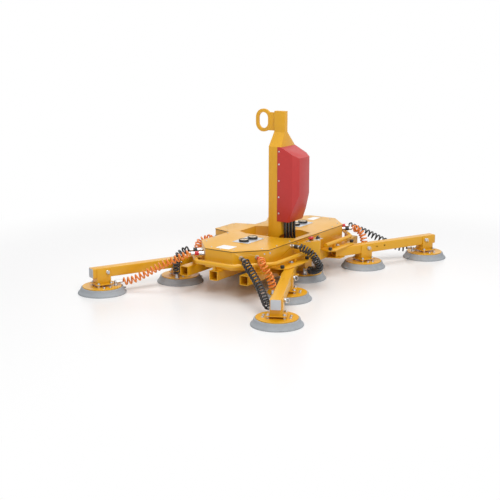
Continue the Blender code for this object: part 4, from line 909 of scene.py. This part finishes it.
def make_controls():
    stretch = math.hypot(1.0, BAY_SLOPE)
    corners = [quarter(BAY_ROOT, -1, -1), NOSE_LEFT, NOSE_RIGHT, quarter(BAY_ROOT, 1, -1)]
    outline = inset([(p.x, (p.y + BAY_ROOT.y) * stretch) for p in corners], 0.0015)
    cover = placed(plate(outline, 0.0, PANEL_FACE, 0.0008), ON_BAY)
    finished("control_cover", cover, YELLOW, "frame", ("control_panel",))
    label = plate(round_rectangle(0.030, 0.020, 0.002), 0.0, 0.0008, 0.0002)
    placed(label, on_panel(-0.012, -0.082) @ Matrix.Rotation(math.radians(-12), 4, "Z"))
    small = plate(round_rectangle(0.020, 0.012, 0.002), 0.0, 0.0008, 0.0002)
    placed(small, on_panel(0.062, -0.030))
    finished("control_plates", joined(label, small), PANEL_SILVER, "frame")

    collar = turned([(0.0, 0.0), (0.0150, 0.0), (0.0155, 0.0005), (0.0155, 0.0030), (0.0145, 0.0038),
                     (0.0125, 0.0038), (0.0120, 0.0), (0.0, -0.0004)], 40)
    placed(collar, on_panel(*STOP_BUTTON))
    finished("stop_button_collar", collar, BLACK_PLASTIC, "frame")
    head = turned([(0.0, 0.024), (0.006, 0.0237), (0.0115, 0.0226), (0.0158, 0.0200), (0.0178, 0.0165),
                   (0.0180, 0.0135), (0.0172, 0.0108), (0.0140, 0.0095), (0.0100, 0.0072),
                   (0.0100, 0.0045), (0.0060, 0.0043), (0.0060, -0.0140), (0.0, -0.0140)], 48)
    placed(head, on_panel(*STOP_BUTTON))
    finished("stop_button_head", head, RED_PLASTIC, "stop_button", ("stop_button",))

    knob = turned([(0.0, 0.0), (0.0128, 0.0), (0.0130, 0.0004), (0.0130, 0.0100), (0.0122, 0.0140),
                   (0.0108, 0.0150), (0.0, 0.0152)], 40)
    grip = box((-0.0140, -0.0042, 0.0100), (0.0140, 0.0042, 0.0215), 0.0012)
    knob = placed(joined(knob, grip), on_panel(*SWITCH) @ Matrix.Rotation(math.radians(20), 4, "Z"))
    finished("switch_knob", knob, BLACK_PLASTIC, "frame")
    rings = turned([(0.0, 0.0), (0.0118, 0.0), (0.0122, 0.0006), (0.0118, 0.0042), (0.0100, 0.0052),
                    (0.0086, 0.0048), (0.0084, 0.0034), (0.0, 0.0034)], 36)
    placed(rings, on_panel(*KEY_SWITCH))
    chrome = turned([(0.0, 0.0), (0.0158, 0.0), (0.0162, 0.0006), (0.0156, 0.0022), (0.0, 0.0022)], 36)
    placed(chrome, on_panel(*SWITCH, PANEL_FACE - 0.0002))
    finished("control_rings", joined(rings, chrome), STEEL, "frame")
    lock = bar((0.0, 0.0, 0.0030), (0.0, 0.0, 0.0046), 0.0080, 28, 0.0004)
    placed(lock, on_panel(*KEY_SWITCH))
    finished("key_switch_core", lock, BLACK_PLASTIC, "frame")
    screws = bmesh.new()
    for x, y in ((-0.138, -0.010), (0.138, -0.010), (0.0, -0.010), (-0.068, -0.122), (-0.048, -0.112),
                 (0.045, -0.070), (-0.108, -0.080)):
        joined(screws, placed(hex_bolt(ZERO, 0.0032, 0.0020), on_panel(x, y)))
    finished("control_screws", screws, STEEL, "frame")


def coupler_shapes(foot, way, length):
    """Steel nut, body and tip of a quick coupler, and the sleeve that is pulled back to free it."""
    start = foot - way * 0.001
    steel = joined(
        placed(turned([(0.0, 0.0), (0.0150, 0.0), (0.0150, 0.0014), (0.0125, 0.0018), (0.0125, 0.016),
                       (0.0, 0.016)], 6), along(start, start + way)),
        bar(start + way * 0.012, foot + way * length * 0.62, 0.0116, 32, 0.0010),
        bar(foot + way * length * 0.60, foot + way * length, 0.0114, 32, 0.0016),
    )
    sleeve = placed(
        turned([
            (0.0, 0.0), (0.0126, 0.0), (0.0138, 0.0015), (0.0138, 0.0075), (0.0128, 0.0090),
            (0.0128, 0.0150), (0.0138, 0.0165), (0.0138, 0.0245), (0.0126, 0.0260), (0.0, 0.0260),
        ], 32),
        along(foot + way * length * 0.42, foot + way * length),
    )
    return steel, sleeve


def make_couplers():
    colors = {
        "front_left": ("black", "red"),
        "front_right": ("red", "black"),
        "rear_left": ("red", "black"),
        "rear_right": ("black", "red"),
    }
    steels, sleeves = bmesh.new(), {"black": bmesh.new(), "red": bmesh.new()}
    for side, (sign_x, sign_y) in QUARTERS.items():
        way = quarter(end_panel_normal(), sign_x, sign_y)
        for distance, color in zip(COUPLER_ALONG, colors[side]):
            foot = quarter(coupler_foot(distance), sign_x, sign_y)
            steel, sleeve = coupler_shapes(foot, way, COUPLER_LENGTH)
            joined(steels, steel)
            joined(sleeves[color], sleeve)
    for foot, reach in (FRONT_COUPLER, rear_coupler()):
        steel, sleeve = coupler_shapes(foot, reach.normalized(), reach.length)
        joined(steels, steel)
        joined(sleeves["black"], sleeve)
    finished("coupler_bodies", steels, STEEL, "frame")
    finished("coupler_sleeves_black", sleeves["black"], BLACK_PLASTIC, "frame")
    finished("coupler_sleeves_red", sleeves["red"], RED_PLASTIC, "frame")


# Tube handles

HANDLE_RADIUS = 0.0135
HANDLE_OFFSET = 0.055
HANDLE_Z = 0.200
HANDLE_BEND = 0.060
HANDLE_END_X = 0.1425


def bent_points(corners, radius, steps):
    """A path of straight runs between corners, with each corner rounded to a radius."""
    points = [corners[0]]
    for before, corner, after in zip(corners, corners[1:], corners[2:]):
        back, ahead = (before - corner).normalized(), (after - corner).normalized()
        half = back.angle(ahead) / 2
        reach = radius / math.tan(half)
        centre = corner + (back + ahead).normalized() * (radius / math.sin(half))
        start, end = corner + back * reach - centre, corner + ahead * reach - centre
        start.normalize()
        end.normalize()
        points.extend(centre + start.slerp(end, step / steps) * radius for step in range(steps + 1))
    points.append(corners[-1])
    return points


def make_handle(side, sign):
    normal = end_panel_normal()
    side_y = LOBE_SHOULDER.y + HANDLE_OFFSET
    end_x = LOBE_END.x + HANDLE_OFFSET
    panel = LOBE_END + normal * HANDLE_OFFSET
    way = Vector((-normal.y, normal.x, 0.0))
    at_side = panel + way * ((side_y - panel.y) / way.y)
    at_end = panel + way * ((end_x - panel.x) / way.x)
    flat = [(HANDLE_END_X, side_y), (at_side.x, side_y), (end_x, at_end.y)]
    corners = [Vector((x, y, HANDLE_Z)) for x, y in flat + [(x, -y) for x, y in reversed(flat)]]
    tube = swept(bent_points(corners, HANDLE_BEND, 10), HANDLE_RADIUS, 20)
    middle = at_end.lerp(at_side, (BODY_TUBE_SPACING - at_end.y) / (at_side.y - at_end.y))
    feet = [(end_x - 0.008, 0.0, TUBE_TOP)]
    for sign_y in (-1, 1):
        feet.append((middle.x, sign_y * BODY_TUBE_SPACING, TUBE_TOP))
        feet.append((ARM_PIVOT.x - 0.045, sign_y * side_y, BRACKET_TOP))
    for x, y, seat in feet:
        joined(tube, box((x - 0.009, y - 0.009, seat + GAP), (x + 0.009, y + 0.009, HANDLE_Z), 0.0015))
    node = "handle_" + side
    placed(tube, mirror_matrix(sign, 1))
    finished(node + "_tube", tube, YELLOW, "frame", (node,))


# Mast, cover, eye and drop hoses

MAST_FRONT_Y = -0.097
COVER_SIDE_X = 0.0883
COVER_BOTTOM_Z = 0.372
CLAMP_BAR_Z = COVER_BOTTOM_Z + 0.016
CLAMP_BAR = 0.010
CLAMP_HALF_X = 0.0845
DROP_HOSE_RADIUS = 0.009
DROP_HOSE_Y = -0.113
DROP_HOSE_COUNT = 4
DROP_HOSE_SPACING = 0.038


def make_mast():
    column = dressed_copy("mast", 0.0035, 3, 0.020)
    finished("mast_welded", column, YELLOW, "mast", ("mast",), 30)
    cover = dressed_copy("mast_cover", 0.0020, 2, 0.012)
    finished("mast_cover_folded", cover, RED, "mast", ("mast_cover",), 30)
    eye = dressed_copy("lifting_eye", 0.0032, 3)
    finished("lifting_eye_forged", eye, YELLOW, "mast", ("lifting_eye",), 50)
    screws = bmesh.new()
    for height in (0.425, 0.530, 0.635, 0.740, 0.822):
        for sign in (-1, 1):
            place = (sign * COVER_SIDE_X, MAST_FRONT_Y + 0.013, height)
            joined(screws, hex_bolt(place, 0.0036, 0.0024, way=Vector((sign, 0.0, 0.0))))
    finished("cover_screws", screws, STEEL, "mast")
    frame_node("mast_pin").data.materials.clear()
    frame_node("mast_pin").data.materials.append(STEEL)


def make_drop_hoses():
    clamp = box(
        (-CLAMP_HALF_X, 2 * DROP_HOSE_Y - MAST_FRONT_Y, CLAMP_BAR_Z),
        (CLAMP_HALF_X, MAST_FRONT_Y - GAP, CLAMP_BAR_Z + CLAMP_BAR), 0.001,
    )
    finished("hose_clamp", clamp, BLACK_RUBBER_AND_PAINTED_SHADE, "mast", ("mast_hoses",))
    floor = TUBE_TOP + 2 * GAP + 0.006
    for i in range(DROP_HOSE_COUNT):
        x = DROP_HOSE_SPACING * (i - (DROP_HOSE_COUNT - 1) / 2)
        start = Vector((x, DROP_HOSE_Y, CLAMP_BAR_Z + CLAMP_BAR / 2))
        end = Vector((x * 0.92, DROP_HOSE_Y - 0.012, floor))
        middle = Vector((x * 0.97, DROP_HOSE_Y - 0.002, (start.z + end.z) / 2))
        lead = UP * HOSE_LEAD
        line = [start, *smooth_points([start, start - lead, middle, end + lead, end], 24), end]
        name = f"drop_hose_{i + 1}"
        tube = swept(line, DROP_HOSE_RADIUS, 18)
        hose = finished(name, tube, BLACK_HOSE, None, (), 60)
        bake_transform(hose)


# Arms, cups, heads and lock pins, made with +X along the arm

CUP_RADIUS = 0.1486
CUP_TOP_RADIUS = 0.1285
CUP_HEIGHT = 0.039
PLATE_RADIUS = 0.1200
PLATE_BOTTOM = CUP_HEIGHT + GAP
PLATE_TOP = PLATE_BOTTOM + 0.006
BASE_BOTTOM = PLATE_TOP + 0.012
BASE_TOP = BASE_BOTTOM + 0.006
STUD_X = 0.041
STUD_Y = 0.045
PLATE_BOLT_X = 0.020
PLATE_BOLT_Y = 0.077
SADDLE_INNER = ARM_TUBE / 2 + SWIVEL_GAP
SADDLE_OUTER = SADDLE_INNER + 0.005
SADDLE_REACH = 0.045
SADDLE_WEB = 0.007
SADDLE_TOP_Z = 0.155


def cup_shape():
    """A rubber cup with a flared skirt, a rolled lip, a shallow recess and a pull tab."""
    cup = turned([
        (0.0, CUP_HEIGHT), (CUP_TOP_RADIUS - 0.002, CUP_HEIGHT), (CUP_TOP_RADIUS, CUP_HEIGHT - 0.0010),
        (CUP_TOP_RADIUS + 0.0015, 0.0340), (CUP_TOP_RADIUS + 0.0040, 0.0265), (0.1360, 0.0200),
        (0.1400, 0.0150), (0.1445, 0.0108), (0.1473, 0.0080), (CUP_RADIUS, 0.0052),
        (CUP_RADIUS, 0.0024), (0.1476, 0.0), (0.1380, 0.0), (0.1340, 0.0032), (0.0, 0.0032),
    ], 88)
    tab = plate(round_rectangle(0.012, 0.010, 0.005), 0.0100, 0.0145, 0.0012)
    placed(tab, Matrix.Rotation(math.pi, 4, "Z") @ Matrix.Translation((0.1470, 0.0, 0.0)))
    return joined(cup, tab)


def head_shape():
    """A cup's round plate, the raised base on spacers and the saddle that straddles the tube."""
    rounded = turned([
        (0.0, PLATE_BOTTOM), (PLATE_RADIUS - 0.0008, PLATE_BOTTOM), (PLATE_RADIUS, PLATE_BOTTOM + 0.0008),
        (PLATE_RADIUS, PLATE_TOP - 0.0010), (PLATE_RADIUS - 0.0010, PLATE_TOP), (0.0, PLATE_TOP),
    ], 88)
    base = plate(round_rectangle(0.0565, 0.0565, 0.005), BASE_BOTTOM, BASE_TOP, 0.0008)
    seat = TUBE_MID_Z - ARM_TUBE / 2 - SWIVEL_GAP
    cheeks = [
        box((-SADDLE_REACH, low, BASE_TOP - 0.0005), (SADDLE_REACH, low + 0.005, SADDLE_TOP_Z), 0.0009)
        for low in (-SADDLE_OUTER, SADDLE_INNER)
    ]
    web_y = SADDLE_OUTER - 0.0012
    webs = [
        box((low, -web_y, BASE_TOP - 0.0005), (low + SADDLE_WEB, web_y, seat), 0.0007)
        for low in (-SADDLE_REACH, SADDLE_REACH - SADDLE_WEB)
    ]
    return joined(rounded, base, *cheeks, *webs)


def head_fasteners():
    """Spacers under the raised base, nuts on it, and two plate bolts on either side."""
    steel = bmesh.new()
    for sign_x, sign_y in QUARTERS.values():
        x, y = sign_x * STUD_X, sign_y * STUD_Y
        low, high = (x, y, PLATE_TOP - 0.0005), (x, y, BASE_BOTTOM + 0.0005)
        joined(steel, bar(low, high, 0.0072, 24, 0.0005))
        joined(steel, hex_bolt((x, y, BASE_TOP), 0.0074, 0.0058))
        joined(steel, bar((x, y, BASE_TOP), (x, y, BASE_TOP + 0.0100), 0.0042, 16, 0.0008))
        place = (sign_x * PLATE_BOLT_X, sign_y * PLATE_BOLT_Y, PLATE_TOP)
        joined(steel, hex_bolt(place, 0.0066, 0.0056))
    return steel


def fitting_shapes(fitting, side_sign):
    """The post, the nut and the barb of a hose fitting. The hose is pushed on the barb."""
    foot, end = (Vector((p.x, p.y * side_sign, p.z)) for p in fitting)
    low = Vector((foot.x, foot.y, PLATE_TOP - 0.0005))
    level = Vector((foot.x, foot.y, end.z))
    top = Vector((foot.x, foot.y, end.z + FITTING_RADIUS * 0.8))
    steel = hex_bolt(low, 0.0118, 0.0075)
    joined(steel, bar(low, top, 0.0095, 28, 0.0020))
    if (end - level).length > 0.001:
        way = (end - level).normalized()
        nut_end = level + way * 0.018
        joined(steel, placed(turned([(0.0, 0.0), (0.0112, 0.0), (0.0112, 0.009), (0.0, 0.009)], 6),
                             along(nut_end - way * 0.009, nut_end)))
        joined(steel, bar(level, end, 0.0080, 28, 0.0012))
    return steel


def pin_shapes(head_sign):
    """A lock pin with a grooved head and a pull ring."""
    face = SADDLE_OUTER + GAP
    end = face + 0.012
    pin = placed(turned([
        (0.0, -(face + 0.009)), (0.0045, -(face + 0.009)), (0.0060, -(face + 0.0065)), (0.0060, face),
        (0.0102, face), (0.0110, face + 0.0010), (0.0110, face + 0.0040), (0.0090, face + 0.0052),
        (0.0090, face + 0.0068), (0.0110, face + 0.0080), (0.0110, end - 0.0012), (0.0100, end),
        (0.0, end),
    ], 32), Matrix.Rotation(-math.pi / 2, 4, "X"))
    through_head = Matrix.Translation((0.0, end + 0.00455, -0.002))
    joined(pin, placed(ring(0.0130, 0.0018), through_head @ Matrix.Rotation(math.pi / 2, 4, "Y")))
    if head_sign < 0:
        placed(pin, Matrix.Rotation(math.pi, 4, "Z"))
    return pin


def make_cup_and_head(label, matrix, body, fitting, side_sign):
    cup, head = "cup_" + label, "head_" + label
    rubber = placed(cup_shape(), matrix)
    finished(cup + "_moulded", rubber, GREY_RUBBER, body, (cup,), 35)
    welded = placed(head_shape(), matrix)
    finished(head + "_welded", welded, YELLOW, body, (head,), 35)
    finished(head + "_nuts", placed(head_fasteners(), matrix), STEEL, body)
    elbow = placed(fitting_shapes(fitting, side_sign), matrix)
    finished(head + "_fitting", elbow, STEEL, body)


def make_arm(side, sign_x, sign_y):
    body = "arm_" + side
    matrix = arm_matrix(sign_x, sign_y)
    hose_side = -sign_x * sign_y
    tube = dressed_copy(body, 0.0045, 3, 0.045)
    finished(body + "_tube", tube, YELLOW, body, (body,), 35)
    half = ARM_TUBE / 2
    plug = plate(round_rectangle(half - 0.0015, half - 0.0015, 0.005), -0.0010, 0.0018, 0.0008)
    turn = Matrix(((0, 0, 1, ARM_END), (1, 0, 0, 0), (0, 1, 0, TUBE_MID_Z), (0, 0, 0, 1)))
    finished(body + "_end_plug", placed(plug, matrix @ turn), END_CAP, body)
    cups = (
        ("inner", INNER_CUP, INNER_PIN_SHIFT, INNER_FITTING, -hose_side),
        ("outer", OUTER_CUP, OUTER_PIN_SHIFT, OUTER_FITTING, -sign_x),
    )
    for cup_name, distance, pin_shift, fitting, head_side in cups:
        label = side + "_" + cup_name
        place = matrix @ Matrix.Translation((distance, 0.0, 0.0))
        make_cup_and_head(label, place, body, fitting, hose_side)
        pin_place = matrix @ Matrix.Translation((distance + pin_shift, 0.0, LOCK_PIN_Z))
        pin = "pin_" + label
        shape = placed(pin_shapes(head_side), pin_place)
        finished(pin + "_turned", shape, STEEL, pin, (pin,), 40)


def make_centre_cups():
    for side, sign_y in (("front", -1), ("rear", 1)):
        place = Matrix.Translation((0.0, sign_y * BODY_TUBE_SPACING, 0.0))
        make_cup_and_head(side + "_centre", place, "frame", CENTRE_FITTING, sign_y)


# Camera and light

CAMERA_LENS = 73.94
CAMERA_PLACE = (-5.6108, -3.4648, 1.6244)
CAMERA_AIM = Vector((0.8178, 0.5331, -0.2171))
FLOOR_FADE = (1.35, 3.0)


def make_camera():
    data = bpy.data.cameras.new("photo_camera")
    data.sensor_width = 36.0
    data.lens = CAMERA_LENS
    camera = bpy.data.objects.new("photo_camera", data)
    bpy.context.scene.collection.objects.link(camera)
    camera.location = CAMERA_PLACE
    camera.rotation_euler = CAMERA_AIM.to_track_quat("-Z", "Y").to_euler()
    bpy.context.scene.camera = camera


def make_area_light(name, place, target, size, power):
    data = bpy.data.lights.new(name, "AREA")
    data.shape = "DISK"
    data.size = size
    data.energy = power
    lamp = bpy.data.objects.new(name, data)
    bpy.context.scene.collection.objects.link(lamp)
    lamp.location = place
    lamp.rotation_euler = (Vector(target) - Vector(place)).to_track_quat("-Z", "Y").to_euler()
    return lamp


def make_world():
    """White to the camera and to reflections, and a soft fill for everything else."""
    world = bpy.data.worlds.new("studio")
    bpy.context.scene.world = world
    world.use_nodes = True
    nodes, links = world.node_tree.nodes, world.node_tree.links
    nodes.clear()
    rays = nodes.new("ShaderNodeLightPath").outputs
    seen = math_node(nodes, links, "MAXIMUM", rays["Is Camera Ray"], rays["Is Glossy Ray"])
    seen = math_node(nodes, links, "MAXIMUM", seen, rays["Is Transmission Ray"])
    fill = nodes.new("ShaderNodeBackground")
    fill.inputs["Color"].default_value = (0.95, 0.97, 1.0, 1.0)
    fill.inputs["Strength"].default_value = 0.50
    white = nodes.new("ShaderNodeBackground")
    white.inputs["Color"].default_value = (1.0, 1.0, 1.0, 1.0)
    white.inputs["Strength"].default_value = 1.0
    mix = nodes.new("ShaderNodeMixShader")
    output = nodes.new("ShaderNodeOutputWorld")
    links.new(seen, mix.inputs["Fac"])
    links.new(fill.outputs[0], mix.inputs[1])
    links.new(white.outputs[0], mix.inputs[2])
    links.new(mix.outputs[0], output.inputs["Surface"])


def make_floor():
    """A pale floor that keeps the shadow and goes white further out."""
    shape = bmesh.new()
    bmesh.ops.create_grid(shape, x_segments=1, y_segments=1, size=30.0)
    mesh = bpy.data.meshes.new("floor")
    shape.to_mesh(mesh)
    shape.free()
    floor = bpy.data.objects.new("floor", mesh)
    bpy.context.scene.collection.objects.link(floor)
    mat, nodes, links, shader = new_material("pale_floor")
    shader.inputs["Base Color"].default_value = (0.90, 0.89, 0.88, 1.0)
    shader.inputs["Roughness"].default_value = 0.30
    rays = nodes.new("ShaderNodeLightPath").outputs
    place = nodes.new("ShaderNodeTexCoord")
    distance = nodes.new("ShaderNodeVectorMath")
    distance.operation = "LENGTH"
    links.new(place.outputs["Object"], distance.inputs[0])
    fade = nodes.new("ShaderNodeMapRange")
    fade.interpolation_type = "SMOOTHSTEP"
    fade.inputs["From Min"].default_value = FLOOR_FADE[0]
    fade.inputs["From Max"].default_value = FLOOR_FADE[1]
    links.new(distance.outputs["Value"], fade.inputs["Value"])
    seen = math_node(nodes, links, "MAXIMUM", rays["Is Camera Ray"], rays["Is Glossy Ray"])
    amount = math_node(nodes, links, "MULTIPLY", fade.outputs["Result"], seen)
    white = nodes.new("ShaderNodeEmission")
    white.inputs["Strength"].default_value = 1.0
    mix = nodes.new("ShaderNodeMixShader")
    links.new(amount, mix.inputs["Fac"])
    links.new(shader.outputs["BSDF"], mix.inputs[1])
    links.new(white.outputs["Emission"], mix.inputs[2])
    links.new(mix.outputs["Shader"], nodes["Material Output"].inputs["Surface"])
    mesh.materials.append(mat)


def make_stage():
    scene = bpy.context.scene
    scene.view_settings.view_transform = "Standard"
    make_camera()
    make_world()
    make_floor()
    make_area_light("key_light", (-3.0, -3.5, 4.5), (0.0, 0.0, 0.2), 3.0, 150.0)
    make_area_light("top_light", (0.5, 0.5, 5.0), (0.0, 0.0, 0.0), 4.0, 120.0)


make_stage()
make_hoses()
make_drop_hoses()
make_body_tubes()
make_housing()
make_panel_seams()
make_gauge_panel("left", -1)
make_gauge_panel("right", 1)
make_controls()
make_couplers()
make_handle("left", -1)
make_handle("right", 1)
make_mast()
for quarter_name, (quarter_x, quarter_y) in QUARTERS.items():
    make_bracket_fittings(quarter_name, quarter_x, quarter_y)
    make_arm(quarter_name, quarter_x, quarter_y)
make_centre_cups()
for node_name, node_material in (("battery", BLACK_PLASTIC), ("vacuum_pump", ALUMINIUM)):
    frame_node(node_name).data.materials.clear()
    frame_node(node_name).data.materials.append(node_material)
